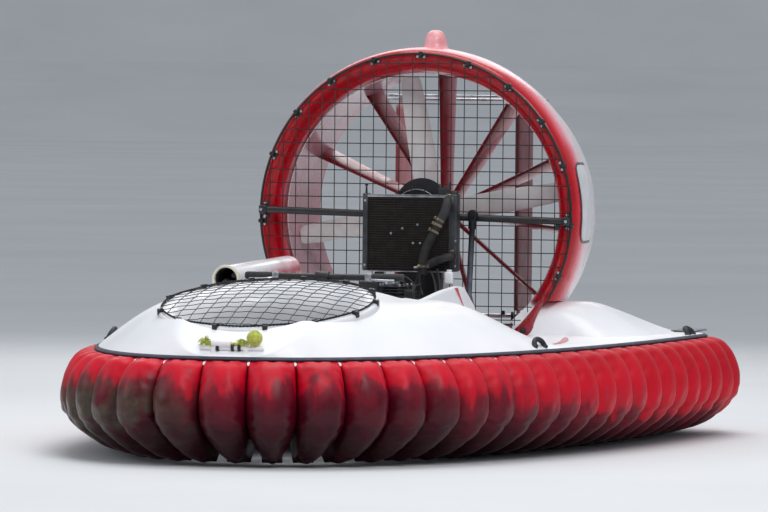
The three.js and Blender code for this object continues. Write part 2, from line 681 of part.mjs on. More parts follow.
// Rudders, their beams and the link between them
const rudderSection = [[0, -45], [7, -38], [9, -15], [9, 20], [4, 150], [1, 190], [-1, 190], [-4, 150],
  [-9, 20], [-9, -15], [-7, -38]];
const rudderShape = new THREE.Shape(rudderSection.map(([x, y]) => new THREE.Vector2(x, y)));
const beamLow = rudderTop + 7;
const beamHigh = beamLow + 12;
const linkY = 67;
const linkHeight = rudderTop + 26;
for (const [side, x] of [['port', rudderX], ['starboard', -rudderX]]) {
  const depth = rudderTop - rudderBottom;
  const blade = new THREE.ExtrudeGeometry(rudderShape, { depth, bevelEnabled: false });
  const pins = [rod([0, 0, rudderTop - 2], [0, 0, beamLow - gap], 7, 12),
    rod([0, 0, rudderBottom + 2], [0, 0, rudderBottom - 12 + gap], 7, 12),
    rod([0, linkY, rudderTop - 2], [0, linkY, linkHeight - 4 - gap], 4, 8)];
  const body = joined(blade.translate(0, 0, rudderBottom), ...pins).translate(x, rudderPivotY, 0);
  addMesh(`rudder_${side}`, body, redGelcoat);
}
const beamArmX = 318;
const rearFace = ductBack + gap;
addMesh('rudder_beam_top', joined(
  box(-beamArmX - 13, beamArmX + 13, rudderPivotY - 14, rudderPivotY + 14, beamLow, beamHigh),
  box(beamArmX - 13, beamArmX + 13, rearFace, rudderPivotY, beamLow, beamHigh),
  box(-beamArmX - 13, -beamArmX + 13, rearFace, rudderPivotY, beamLow, beamHigh),
), steel);
addMesh('rudder_beam_bottom', box(-fairingInner + gap, fairingInner - gap,
  rudderPivotY - 16, rudderPivotY + 16, rudderBottom - 28, rudderBottom - 12), steel);
addMesh('rudder_link', rod([-rudderX - 70, rudderPivotY + linkY, linkHeight],
  [rudderX + 12, rudderPivotY + linkY, linkHeight], 4, 10), steel);

// Beacon dome on top of the duct
const beaconY = 990;
const beaconProfile = [[0, 560], [63, 560], [63, 588], [42, 600], [35, 620], [30, 642], [16, 656], [0, 660]]
  .map(([r, z]) => new THREE.Vector2(r, z));
const beacon = new THREE.LatheGeometry(beaconProfile, 20).rotateX(Math.PI / 2)
  .translate(0, beaconY, fanAxisHeight);
addMesh('beacon_dome', highest(toSolid(beacon).subtract(ductRound.translate(0, 0, gap))), pinkGelcoat);

// Lift intake, fan, its mount, rim and net
const intakeProfile = [
  [rimOuter, -80], [rimOuter, 0], [intakeRadius + 8, 8], [intakeRadius - 8, 8], [325, -2], [295, -24],
  [277, -54], [liftThroatRadius, -92], [liftThroatRadius, -290], [liftWall, -290], [liftWall, -80],
];
addMesh('lift_intake', latheLift([...intakeProfile, intakeProfile[0]], liftSegments), whiteGelcoat);
const liftRotor = rotor({
  hub: new THREE.CylinderGeometry(62, 62, 56, 20).rotateX(Math.PI / 2), hubRadius: 62,
  tip: liftFanRadius, count: 8, turn: Math.PI / 8, rootChord: 84, tipChord: 70,
  rootPitch: 40, tipPitch: 26, thickness: 12,
});
const liftFanDepth = -150;
const placeLift = (solid, depth) => solid.translate(0, 0, depth)
  .rotate([THREE.MathUtils.radToDeg(intakeTilt), 0, 0])
  .translate(...intakeCentre.toArray());
addMesh('lift_fan', placeLift(liftRotor, liftFanDepth), darkPlastic);
const mountArms = Array.from({ length: 3 }, (_, k) => box(0, liftThroatRadius - 1.4, -14, 14, -12, 12)
  .rotateZ(((k + 0.25) / 3) * 2 * Math.PI));
const mountHub = new THREE.CylinderGeometry(70, 70, 90, 20).rotateX(Math.PI / 2).translate(0, 0, 0);
const liftMount = joined(mountHub, ...mountArms);
addMesh('lift_fan_mount', placeLift(liftMount, liftFanDepth - 28 - gap - 45), blackPaint);

const rimTube = 6;
const netRise = 38;
const netPitch = 100;
const netWire = 2.5;
const netting = lattice(intakeRadius + 1, netPitch, netWire, 2 * netWire, 2 * netWire);
netting.translate(0, 0, -netWire);
const netPoints = netting.attributes.position;
for (let i = 0; i < netPoints.count; i += 1) {
  const [x, y] = [netPoints.getX(i), netPoints.getY(i)];
  netPoints.setZ(i, netPoints.getZ(i) + netRise * (1 - (x * x + y * y) / intakeRadius ** 2));
}
const rimSection = [];
for (let i = 0; i <= 5; i += 1) {
  const a = (i / 5) * 2 * Math.PI;
  rimSection.push(new THREE.Vector2(intakeRadius + rimTube * Math.cos(a), rimTube * Math.sin(a)));
}
const rim = new THREE.LatheGeometry(rimSection, 36).rotateX(Math.PI / 2);
const net = joined(rim, netting);
addMesh('intake_net', placeLift(net, 8 + rimTube + gap), blackPaint);

// Cockpit: seat, steering column and handlebar
addMesh('seat_base', box(-110, 110, -300, 286, wellFloor + gap, 400), whiteGelcoat);
addMesh('seat_pad', box(-125, 125, -310, 286, 400 + gap, 466), blackVinyl);
const steerLow = new THREE.Vector3(0, -575, 330);
const steerDirection = new THREE.Vector3(0, 0.3975, 0.9176).normalize();
const alongSteer = (distance) => steerLow.clone().addScaledVector(steerDirection, distance).toArray();
const columnTop = 230;
const columnTube = toSolid(rod(alongSteer(-60), alongSteer(columnTop), 20, 14))
  .add(toSolid(box(-24, 24, wellFront + gap, -560, 330, 372)))
  .subtract(toSolid(box(-100, 100, -800, wellFront + gap, 0, 900)));
addMesh('steering_column', largest(columnTube), blackPaint);
const barCentre = alongSteer(columnTop + 62);
const handlebar = joined(
  rod(alongSteer(columnTop + gap), barCentre, 16, 14),
  rod([-280, barCentre[1] + 28, barCentre[2]], [-130, barCentre[1], barCentre[2]], 13, 10),
  rod([280, barCentre[1] + 28, barCentre[2]], [130, barCentre[1], barCentre[2]], 13, 10),
  rod([-134, barCentre[1], barCentre[2]], [134, barCentre[1], barCentre[2]], 13, 10),
);
addMesh('handlebar', handlebar, blackPaint);

// Grab handles leaning inboard. Columns: name, x and y of the feet, slope of the gunwale
const handleTable = [
  ['bow_port', 771, -447, 0.22],
  ['stern_port', 912, 1165, 0.02],
  ['bow_starboard', -771, -447, -0.22],
  ['stern_starboard', -912, 1165, -0.02],
];
const handlePath = [[-36, -8, 0], [-34, 14, 6], [-21, 33, 18], [0, 40, 23], [21, 33, 18], [34, 14, 6], [36, -8, 0]];
handleTable.forEach(([name, x, y, slope]) => {
  const path = handlePath.map(([along, up, inward]) => [x + along * slope - inward * Math.sign(x), y + along, 366 + up]);
  const body = toSolid(tube(path, 9, 8, 7)).subtract(deckWhole.translate(0, 0, gap));
  addMesh(`handle_${name}`, highest(body), darkPlastic);
});

// Bow fitting: bar on two feet, a ball and rope knots
const bowY = -hullLength / 2 + 24;
const fittingZ = 391;
const fitting = joined(
  rod([-104, bowY, fittingZ], [116, bowY, fittingZ], 7, 10),
  box(-66, -46, bowY - 10, bowY + 14, 360, fittingZ + 4),
  box(46, 66, bowY - 10, bowY + 14, 360, fittingZ + 4),
).subtract(deckWhole.translate(0, 0, gap));
addMesh('tow_fitting', highest(fitting), blackPaint);
const ballRadius = 27;
const ballZ = fittingZ + 7 + ballRadius + 0.1;
const ball = new THREE.SphereGeometry(ballRadius, 14, 9).rotateX(Math.PI / 2).translate(84, bowY, ballZ);
addMesh('tow_ball', ball, yellowFelt);
const ropeZ = fittingZ + 7 + 6 + gap;
const rope = [rod([-84, bowY, ropeZ], [50, bowY, ropeZ], 6, 8)];
for (const x of [-84, 20]) {
  rope.push(new THREE.SphereGeometry(20, 10, 6).scale(1.1, 0.8, 1).translate(x, bowY, ropeZ + 14));
}
addMesh('tow_rope', joined(...rope), yellowFelt);

export default craft;
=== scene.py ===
import json
import math
import random

import bpy
from mathutils import Matrix, Vector, noise


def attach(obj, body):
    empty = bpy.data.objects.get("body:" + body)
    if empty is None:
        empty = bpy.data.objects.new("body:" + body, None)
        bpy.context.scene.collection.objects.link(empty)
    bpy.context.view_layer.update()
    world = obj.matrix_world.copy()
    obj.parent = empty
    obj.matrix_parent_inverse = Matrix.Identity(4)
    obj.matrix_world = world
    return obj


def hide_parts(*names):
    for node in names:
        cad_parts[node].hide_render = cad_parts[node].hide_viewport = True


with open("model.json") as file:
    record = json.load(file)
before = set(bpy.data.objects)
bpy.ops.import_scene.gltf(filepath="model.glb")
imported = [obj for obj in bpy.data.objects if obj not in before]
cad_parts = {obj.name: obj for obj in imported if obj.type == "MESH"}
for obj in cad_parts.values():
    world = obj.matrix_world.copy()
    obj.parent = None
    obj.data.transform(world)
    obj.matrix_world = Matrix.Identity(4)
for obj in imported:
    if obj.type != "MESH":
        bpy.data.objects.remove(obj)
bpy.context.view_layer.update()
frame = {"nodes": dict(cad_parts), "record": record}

bpy.ops.object.select_all(action="DESELECT")
random.seed(7)
print("frame loaded")

# small helpers for modelling


def pickOnly(*pieces):
    bpy.ops.object.select_all(action="DESELECT")
    for piece in pieces:
        piece.select_set(True)
    bpy.context.view_layer.objects.active = pieces[0]


def fromPoints(name, points, faces, edges=()):
    mesh = bpy.data.meshes.new(name)
    mesh.from_pydata([tuple(p) for p in points], edges, faces)
    mesh.update()
    piece = bpy.data.objects.new(name, mesh)
    bpy.context.scene.collection.objects.link(piece)
    return piece


def applyPlace(piece):
    pickOnly(piece)
    bpy.ops.object.transform_apply(location=True, rotation=True, scale=True)
    return piece


def faceOut(piece, merge=1e-5):
    pickOnly(piece)
    bpy.ops.object.mode_set(mode="EDIT")
    bpy.ops.mesh.select_all(action="SELECT")
    bpy.ops.mesh.remove_doubles(threshold=merge)
    bpy.ops.mesh.normals_make_consistent(inside=False)
    bpy.ops.object.mode_set(mode="OBJECT")
    return piece


def smooth(piece, angle=35):
    pickOnly(piece)
    bpy.ops.object.shade_smooth_by_angle(angle=math.radians(angle))
    return piece


def applyModifier(piece, kind, **values):
    pickOnly(piece)
    modifier = piece.modifiers.new(kind.lower(), kind)
    for key, value in values.items():
        setattr(modifier, key, value)
    bpy.ops.object.modifier_apply(modifier=modifier.name)
    return piece


def bevelled(piece, width=0.003, segments=2, angle=40):
    return applyModifier(piece, "BEVEL", width=width, segments=segments, limit_method="ANGLE",
                         angle_limit=math.radians(angle), harden_normals=False)


def cutWith(piece, *cutters, operation="DIFFERENCE"):
    for cutter in cutters:
        applyModifier(piece, "BOOLEAN", operation=operation, object=cutter, solver="EXACT")
    for cutter in cutters:
        bpy.data.objects.remove(cutter)
    return piece


def joinAll(name, pieces):
    pickOnly(*pieces)
    if len(pieces) > 1:
        bpy.ops.object.join()
    pieces[0].name = name
    pieces[0].data.name = name
    return pieces[0]


def block(name, low, high, bevel=0.003, segments=2):
    middle = [(a + b) / 2 for a, b in zip(low, high)]
    bpy.ops.mesh.primitive_cube_add(size=1, location=middle)
    piece = bpy.context.object
    piece.name = name
    piece.scale = [b - a for a, b in zip(low, high)]
    applyPlace(piece)
    if bevel:
        bevelled(piece, bevel, segments)
    return piece


def alignTo(piece, start, end):
    along = Vector(end) - Vector(start)
    piece.matrix_world = (Matrix.Translation((Vector(start) + Vector(end)) / 2)
                          @ along.to_track_quat("Z", "Y").to_matrix().to_4x4())
    return applyPlace(piece)


def bar(name, start, end, radius, endRadius=None, sides=20, bevel=0.0):
    length = (Vector(end) - Vector(start)).length
    top = radius if endRadius is None else endRadius
    bpy.ops.mesh.primitive_cone_add(vertices=sides, radius1=radius, radius2=top, depth=length)
    piece = bpy.context.object
    piece.name = name
    alignTo(piece, start, end)
    if bevel:
        bevelled(piece, bevel, 2)
    return piece


def pipe(name, points, radius, sides=10, closed=False, radii=None):
    curve = bpy.data.curves.new(name, "CURVE")
    curve.dimensions = "3D"
    curve.bevel_depth = radius
    curve.bevel_resolution = max(0, sides // 2 - 2)
    curve.use_fill_caps = True
    spline = curve.splines.new("POLY")
    spline.points.add(len(points) - 1)
    for i, (point, place) in enumerate(zip(spline.points, points)):
        point.co = (*place, 1)
        point.radius = radii[i] if radii else 1
    spline.use_cyclic_u = closed
    piece = bpy.data.objects.new(name, curve)
    bpy.context.scene.collection.objects.link(piece)
    pickOnly(piece)
    bpy.ops.object.convert(target="MESH")
    return faceOut(bpy.context.object)


def curvePoints(points, steps=6, closed=False):
    anchors = [Vector(p) for p in points]
    count = len(anchors)
    made = []
    for i in range(count if closed else count - 1):
        if closed:
            a, b, c, d = (anchors[(i + j - 1) % count] for j in range(4))
        else:
            a, b, c, d = (anchors[min(max(i + j - 1, 0), count - 1)] for j in range(4))
        for k in range(steps):
            t = k / steps
            made.append(0.5 * ((2 * b) + (c - a) * t + (2 * a - 5 * b + 4 * c - d) * t * t
                               + (3 * b - a - 3 * c + d) * t ** 3))
    if not closed:
        made.append(anchors[-1])
    return made


def loft(name, rings, loop=False):
    count = len(rings[0])
    points = [p for ring in rings for p in ring]
    faces = []
    for i in range(len(rings) if loop else len(rings) - 1):
        n = (i + 1) % len(rings)
        for j in range(count):
            k = (j + 1) % count
            faces.append((i * count + j, i * count + k, n * count + k, n * count + j))
    if not loop:
        faces.append(tuple(range(count))[::-1])
        faces.append(tuple((len(rings) - 1) * count + j for j in range(count)))
    return faceOut(fromPoints(name, points, faces))


def gridFaces(lines, across):
    return [(i * across + j, i * across + j + 1, (i + 1) * across + j + 1, (i + 1) * across + j)
            for i in range(lines - 1) for j in range(across - 1)]


def turns(count, start=0.0):
    # angles in equal steps once round
    return [start + 2 * math.pi * i / count for i in range(count)]


def onRing(radius, angle, across=0.0, up=0.0):
    return across + radius * math.cos(angle), up + radius * math.sin(angle)


def spinRound(name, profile, steps, closed=False, axis="Z", centre=(0, 0, 0)):
    # profile points are (radius, place along the axis)
    places = {"Y": lambda r, t: (r, t, 0), "Z": lambda r, t: (r, 0, t)}
    count = len(profile)
    edges = [(i, i + 1) for i in range(count - 1)] + ([(count - 1, 0)] if closed else [])
    piece = fromPoints(name, [places[axis](r, t) for r, t in profile], [], edges)
    pickOnly(piece)
    bpy.ops.object.mode_set(mode="EDIT")
    bpy.ops.mesh.select_all(action="SELECT")
    bpy.ops.mesh.spin(steps=steps, angle=2 * math.pi, center=(0, 0, 0),
                      axis=(0, 1, 0) if axis == "Y" else (0, 0, 1))
    bpy.ops.object.mode_set(mode="OBJECT")
    faceOut(piece)
    piece.location = centre
    return applyPlace(piece)


def place(piece, finish, body, slot, *nodes, angle=35):
    piece.data.materials.clear()
    piece.data.materials.append(finish)
    if angle:
        smooth(piece, angle)
    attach(piece, body)
    if nodes:
        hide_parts(*nodes)
    return piece


def assemble(name, pieces, finish, slot, *nodes, body="hull", angle=35):
    return place(joinAll(name, pieces), finish, body, slot, *nodes, angle=angle)


def dress(node, finish):
    piece = frame["nodes"][node]
    piece.data.materials.clear()
    piece.data.materials.append(finish)


# finishes


def tone(red, green, blue):
    linear = []
    for value in (red, green, blue):
        c = value / 255
        linear.append(c / 12.92 if c <= 0.04045 else ((c + 0.055) / 1.055) ** 2.4)
    return (*linear, 1.0)


class Finish:
    def __init__(self, name, metallic=0.0, coat=0.0, coatRoughness=0.05, sheen=0.0, specular=0.5):
        self.material = bpy.data.materials.new(name)
        self.material.use_nodes = True
        self.nodes = self.material.node_tree.nodes
        self.links = self.material.node_tree.links
        self.shader = self.nodes["Principled BSDF"]
        for socket, value in (("Metallic", metallic), ("Coat Weight", coat), ("Coat Roughness", coatRoughness),
                              ("Sheen Weight", sheen), ("Specular IOR Level", specular)):
            self.shader.inputs[socket].default_value = value
        coordinates = self.nodes.new("ShaderNodeTexCoord")
        self.object = coordinates.outputs["Object"]
        self.uv = coordinates.outputs["UV"]

    def grain(self, scale, detail=4.0, stretch=None, distortion=0.0):
        source = self.object
        if stretch:
            mapping = self.nodes.new("ShaderNodeMapping")
            mapping.inputs["Scale"].default_value = stretch
            self.links.new(source, mapping.inputs["Vector"])
            source = mapping.outputs["Vector"]
        texture = self.nodes.new("ShaderNodeTexNoise")
        texture.inputs["Scale"].default_value = scale
        texture.inputs["Detail"].default_value = detail
        texture.inputs["Distortion"].default_value = distortion
        self.links.new(source, texture.inputs["Vector"])
        return texture.outputs["Fac"]

    def ramp(self, factor, stops):
        node = self.nodes.new("ShaderNodeValToRGB")
        elements = node.color_ramp.elements
        while len(elements) < len(stops):
            elements.new(0.5)
        for element, (position, colour) in zip(elements, stops):
            element.position = position
            element.color = tone(*colour)
        self.links.new(factor, node.inputs["Fac"])
        return node.outputs["Color"]

    def span(self, value, low, high, toLow=0.0, toHigh=1.0):
        node = self.nodes.new("ShaderNodeMapRange")
        node.inputs["From Min"].default_value = low
        node.inputs["From Max"].default_value = high
        node.inputs["To Min"].default_value = toLow
        node.inputs["To Max"].default_value = toHigh
        self.links.new(value, node.inputs["Value"])
        return node.outputs["Result"]

    def maths(self, operation, a, b=None):
        node = self.nodes.new("ShaderNodeMath")
        node.operation = operation
        for socket, value in zip(node.inputs, (a, b)):
            if value is None:
                continue
            if isinstance(value, (int, float)):
                socket.default_value = value
            else:
                self.links.new(value, socket)
        return node.outputs[0]

    def times(self, a, b):
        return self.maths("MULTIPLY", a, b)

    def plus(self, a, b):
        return self.maths("ADD", a, b)

    def minus(self, a, b):
        return self.maths("SUBTRACT", a, b)

    def drift(self, texture, reach):
        # a noise texture centred on zero
        return self.times(self.minus(texture, 0.5), reach)

    def axes(self, vector=None):
        node = self.nodes.new("ShaderNodeSeparateXYZ")
        self.links.new(vector or self.object, node.inputs[0])
        return node.outputs[0], node.outputs[1], node.outputs[2]

    def mix(self, factor, a, b):
        node = self.nodes.new("ShaderNodeMix")
        node.data_type = "RGBA"
        sockets = [s for s in node.inputs if s.type == "RGBA"]
        self.links.new(factor, node.inputs[0])
        for socket, value in zip(sockets, (a, b)):
            if isinstance(value, tuple):
                socket.default_value = tone(*value)
            else:
                self.links.new(value, socket)
        return [s for s in node.outputs if s.type == "RGBA"][0]

    def bump(self, height, strength, distance):
        node = self.nodes.new("ShaderNodeBump")
        node.inputs["Strength"].default_value = strength
        node.inputs["Distance"].default_value = distance
        self.links.new(height, node.inputs["Height"])
        self.links.new(node.outputs["Normal"], self.shader.inputs["Normal"])

    def colour(self, socket):
        self.links.new(socket, self.shader.inputs["Base Color"])

    def rough(self, scale, low, high):
        self.links.new(self.span(self.grain(scale), 0.3, 0.7, low, high), self.shader.inputs["Roughness"])


def simpleFinish(name, dark, light, patch=6.0, roughness=(0.4, 0.55), grainScale=400.0,
                 grainStrength=0.1, grainDepth=0.0004, **shader):
    finish = Finish(name, **shader)
    finish.colour(finish.ramp(finish.grain(patch), [(0.3, dark), (0.7, light)]))
    finish.rough(30.0, *roughness)
    finish.bump(finish.grain(grainScale), grainStrength, grainDepth)
    return finish.material


def deckFinish():
    finish = Finish("whiteGelcoat", coat=0.3, coatRoughness=0.16)
    x, y, z = finish.axes()
    base = finish.ramp(finish.grain(1.7, 5.0), [(0.3, (233, 235, 240)), (0.7, (250, 250, 252))])
    # grey patches, stronger low down towards the gunwale
    greyPatchNoise = finish.grain(9.0, 8.0, stretch=(1.0, 0.35, 1.0), distortion=0.4)
    greyPatches = finish.ramp(greyPatchNoise, [(0.56, (250, 250, 252)), (0.78, (205, 206, 210))])
    greyedNearGunwale = finish.mix(finish.span(z, 0.352, 0.40, 0.55, 0.06), base, greyPatches)
    # faint pink rub marks near the starboard bow handle
    smear = finish.times(finish.span(x, -0.80, -0.66, 1.0, 0.0),
                         finish.span(finish.grain(14.0, 3.0, stretch=(1, 0.4, 2)), 0.52, 0.66))
    near = finish.times(finish.span(y, -0.75, -0.55), finish.span(y, -0.30, -0.40))
    finish.colour(finish.mix(finish.times(smear, near), greyedNearGunwale, (232, 150, 165)))
    finish.rough(6.0, 0.34, 0.48)
    finish.bump(finish.grain(3.0, 2.0), 0.05, 0.004)
    return finish.material


def ductFinish():
    # red lip paling to white behind; inside past the joint the white barrel is tinted pink by painted reflection of
    # the red parts, darker towards the back
    finish = Finish("redDuctGelcoat", coat=0.3, coatRoughness=0.1, specular=0.35)
    x, y, z = finish.axes()
    up = finish.minus(z, 0.79)
    radius = finish.maths("SQRT", finish.plus(finish.times(x, x), finish.times(up, up)))
    behind = finish.minus(y, 0.743)
    outer = finish.ramp(finish.span(finish.plus(behind, finish.drift(finish.grain(5.0), 0.10)), 0.0, 0.5), [
        (0.03, (172, 0, 20)), (0.08, (206, 6, 32)), (0.15, (228, 104, 120)),
        (0.27, (242, 206, 212)), (0.50, (244, 238, 240))])
    # painted reflection: pink on the white barrel from the red parts around it, darker towards the back
    inner = finish.ramp(finish.span(behind, 0.0, 0.52), [
        (0.17, (150, 0, 22)), (0.19, (224, 178, 186)), (0.5, (214, 170, 180)), (1.0, (200, 150, 162))])
    finish.colour(finish.mix(finish.span(radius, 0.512, 0.510), outer, inner))
    finish.rough(8.0, 0.18, 0.32)
    finish.bump(finish.grain(6.0, 3.0), 0.06, 0.004)
    return finish.material


def vaneFinish():
    # red vane colour with painted light: dark red painted shade at the leading edge, paling behind to a pink painted
    # highlight
    finish = Finish("statorRedPaintedLight", coat=0.2, coatRoughness=0.12)
    along = finish.plus(finish.axes()[1], finish.drift(finish.grain(14.0, 3.0), 0.03))
    finish.colour(finish.ramp(finish.span(along, 1.09, 1.25), [
        (0.05, (118, 2, 20)), (0.30, (148, 14, 34)), (0.48, (192, 96, 108)), (0.85, (226, 176, 180))]))
    finish.rough(20.0, 0.25, 0.42)
    finish.bump(finish.grain(40.0, 3.0), 0.05, 0.001)
    return finish.material


def rudderFinish(name, dark, light):
    # a pale cap above the blade's colour
    finish = Finish(name, coat=0.1, coatRoughness=0.2)
    base = finish.ramp(finish.grain(7.0, 5.0), [(0.32, dark), (0.68, light)])
    finish.colour(finish.mix(finish.span(finish.axes()[2], 1.160, 1.176), base, (236, 190, 190)))
    finish.rough(16.0, 0.3, 0.5)
    finish.bump(finish.grain(60.0, 3.0), 0.08, 0.0008)
    return finish.material


def skirtFinish():
    # uv: u counts fingers from the bow, v runs from the gunwale at 0 to the tip at 1
    finish = Finish("skirtCloth", specular=0.28)
    u, v = finish.axes(finish.uv)[:2]
    x, y = finish.axes()[:2]
    cloud = finish.grain(5.0, 8.0, distortion=0.8)
    streak = finish.grain(26.0, 6.0, stretch=(1.0, 1.0, 0.14))
    # how far below the ragged line where the cloth turns dark, which sinks towards the stern: partly wet cloth,
    # partly painted shade on the down-facing lower half
    aft = finish.plus(finish.span(y, -1.45, -0.35, -0.12, 0.12), finish.span(y, -0.35, 1.3, 0.0, 0.16))
    ragged = finish.plus(finish.plus(v, finish.drift(cloud, 0.38)), finish.drift(streak, 0.34))
    wetAndShaded = finish.minus(ragged, aft)
    # bright red above, dark maroon below: wet cloth and painted shade
    red = finish.ramp(wetAndShaded, [
        (0.0, (186, 0, 26)), (0.20, (212, 0, 36)), (0.33, (190, 4, 36)), (0.39, (116, 8, 32)),
        (0.52, (84, 3, 24)), (0.68, (56, 2, 17)), (0.86, (44, 2, 14)), (1.0, (66, 3, 22))])
    rubbed = finish.times(finish.span(streak, 0.50, 0.72), finish.span(wetAndShaded, 0.10, 0.30))
    dusty = finish.times(rubbed, finish.span(wetAndShaded, 0.50, 0.34))
    faded = finish.mix(finish.times(dusty, 0.55), red, (168, 58, 68))
    # mud on the bow and starboard fingers, fading aft
    forward = finish.span(y, -0.5, -1.2)
    starboard = finish.span(x, -0.02, -0.34)
    band = finish.times(finish.span(v, 0.22, 0.36), finish.span(v, 0.80, 0.55))
    spots = finish.span(finish.grain(4.5, 7.0, distortion=0.9), 0.42, 0.50)
    mudMask = finish.times(finish.times(forward, band), finish.times(spots, starboard))
    mud = finish.ramp(finish.grain(22.0, 6.0), [(0.35, (46, 38, 32)), (0.65, (84, 76, 62))])
    dirty = finish.mix(finish.times(mudMask, 0.88), faded, mud)
    # stitched seams between the fingers
    seam = finish.span(finish.maths("PINGPONG", u, 0.5), 0.0, 0.03, 1.0, 0.0)
    finish.colour(finish.mix(finish.times(seam, 0.7), dirty, (52, 6, 16)))
    finish.links.new(finish.span(wetAndShaded, 0.15, 0.6, 0.52, 0.30), finish.shader.inputs["Roughness"])
    weave = finish.nodes.new("ShaderNodeTexVoronoi")
    weave.inputs["Scale"].default_value = 420
    finish.links.new(finish.object, weave.inputs["Vector"])
    wrinkle = finish.grain(30.0, 5.0, stretch=(1.0, 1.0, 0.5))
    finish.bump(finish.plus(finish.times(weave.outputs["Distance"], 0.05), wrinkle), 0.25, 0.005)
    return finish.material


def strutFinish():
    # dark at the eye, bare grey towards the deck
    finish = Finish("strutMetal", metallic=0.5)
    worn = finish.ramp(finish.grain(26.0), [(0.35, (92, 96, 106)), (0.65, (124, 129, 140))])
    finish.colour(finish.mix(finish.span(finish.axes()[2], 0.74, 0.50), (28, 29, 36), worn))
    finish.rough(30.0, 0.32, 0.5)
    return finish.material


def tubeFinish():
    # white gelcoat above, fading to red low down towards its after end: the red is painted reflection of nearby red
    # parts
    finish = Finish("sideTubeGelcoat", coat=0.5, coatRoughness=0.1)
    y, z = finish.axes()[1:]
    depth = finish.plus(finish.minus(finish.times(y, 0.10), z), 0.6)
    share = finish.plus(depth, finish.drift(finish.grain(9.0, 3.0), 0.05))
    finish.colour(finish.ramp(finish.span(share, -0.07, 0.05), [
        (0.35, (246, 246, 248)), (0.55, (240, 202, 208)), (0.75, (224, 90, 108)), (1.0, (206, 24, 48))]))
    finish.rough(12.0, 0.2, 0.35)
    return finish.material


white = deckFinish()
ductRed = ductFinish()
vaneRedPaintedLight = vaneFinish()
skirtCloth = skirtFinish()
rudderPink = rudderFinish("rudderPinkGelcoat", (196, 104, 110), (216, 134, 136))
rudderRed = rudderFinish("rudderRedGelcoat", (98, 4, 20), (126, 10, 28))
plainWhite = simpleFinish("whiteMoulding", (228, 230, 234), (246, 246, 248), coat=0.4, roughness=(0.25, 0.4))
footRed = simpleFinish("footGelcoat", (140, 8, 26), (170, 16, 36), coat=0.6, roughness=(0.2, 0.35))
pink = simpleFinish("beaconGelcoat", (216, 134, 140), (238, 176, 178), patch=22, coat=0.3, roughness=(0.3, 0.5))
black = simpleFinish("blackPaint", (18, 18, 21), (34, 34, 38), patch=30, roughness=(0.32, 0.5), coat=0.15)
wireBlack = simpleFinish("guardWire", (14, 14, 16), (30, 30, 33), patch=60, roughness=(0.4, 0.6))
hoseBlack = simpleFinish("hoseBlack", (6, 6, 7), (13, 12, 12), patch=60, roughness=(0.6, 0.8))
netBlack = simpleFinish("netRope", (14, 14, 17), (36, 36, 42), patch=220, roughness=(0.75, 0.9),
                        grainScale=900, grainStrength=0.4)
steel = simpleFinish("bareSteel", (150, 152, 156), (200, 202, 206), patch=40, metallic=0.95, roughness=(0.22, 0.4))
darkSteel = simpleFinish("darkSteel", (54, 55, 58), (84, 85, 90), patch=26, metallic=0.7, roughness=(0.38, 0.6))
castMetal = simpleFinish("engineCasting", (46, 47, 51), (78, 80, 85), patch=18, metallic=0.7,
                         roughness=(0.4, 0.6), grainScale=260, grainStrength=0.35, grainDepth=0.0008)
finBlack = simpleFinish("radiatorFins", (22, 19, 18), (46, 40, 38), patch=50, metallic=0.3, roughness=(0.45, 0.7))
finBrown = simpleFinish("radiatorTubes", (46, 40, 37), (72, 65, 60), patch=60, metallic=0.5, roughness=(0.4, 0.6))
tankGrey = simpleFinish("radiatorTank", (50, 52, 56), (78, 80, 84), patch=20, metallic=0.5, roughness=(0.35, 0.55))
brassMetal = simpleFinish("clampMetal", (96, 88, 72), (146, 134, 112), patch=60, metallic=0.9,
                          roughness=(0.25, 0.45))
rubber = simpleFinish("hoseRubber", (24, 24, 26), (52, 52, 54), patch=30, roughness=(0.55, 0.75),
                      grainStrength=0.2)
strip = simpleFinish("rubbingStrip", (34, 38, 54), (58, 62, 80), patch=24, roughness=(0.5, 0.7))
plastic = simpleFinish("darkPlastic", (22, 23, 26), (42, 44, 48), patch=26, roughness=(0.45, 0.65),
                       grainScale=700, grainStrength=0.25)
fanNylon = simpleFinish("fanNylon", (206, 204, 203), (232, 230, 229), patch=12, roughness=(0.3, 0.45), coat=0.2)
felt = simpleFinish("yellowFelt", (150, 158, 48), (206, 212, 96), patch=90, roughness=(0.85, 0.97), sheen=0.5,
                    grainScale=900, grainStrength=0.7, grainDepth=0.001)
vinyl = simpleFinish("seatVinyl", (22, 22, 25), (42, 42, 46), patch=14, roughness=(0.4, 0.6),
                     grainScale=520, grainStrength=0.45, grainDepth=0.0005)
stripeRed = simpleFinish("stripeRed", (190, 18, 40), (214, 36, 58), patch=20, coat=0.4, roughness=(0.25, 0.4))
creamPlastic = simpleFinish("creamRim", (206, 198, 180), (232, 226, 210), patch=30, roughness=(0.4, 0.55))
tubeWhiteRedReflection = tubeFinish()
strutPaint = strutFinish()
panelWhite = simpleFinish("panelWhite", (214, 216, 220), (238, 238, 240), patch=18, roughness=(0.3, 0.45), coat=0.3)
panelGrey = simpleFinish("panelGrey", (60, 62, 68), (92, 94, 100), patch=18, roughness=(0.3, 0.45), coat=0.3)
print("finishes made")

# camera, floor and lights
view = {"azimuth": 15.61, "elevation": 1.52, "roll": 0.52, "distance": 26.42,
        "target": (0.08965, 0.0, 0.65974), "lens": 355.9}


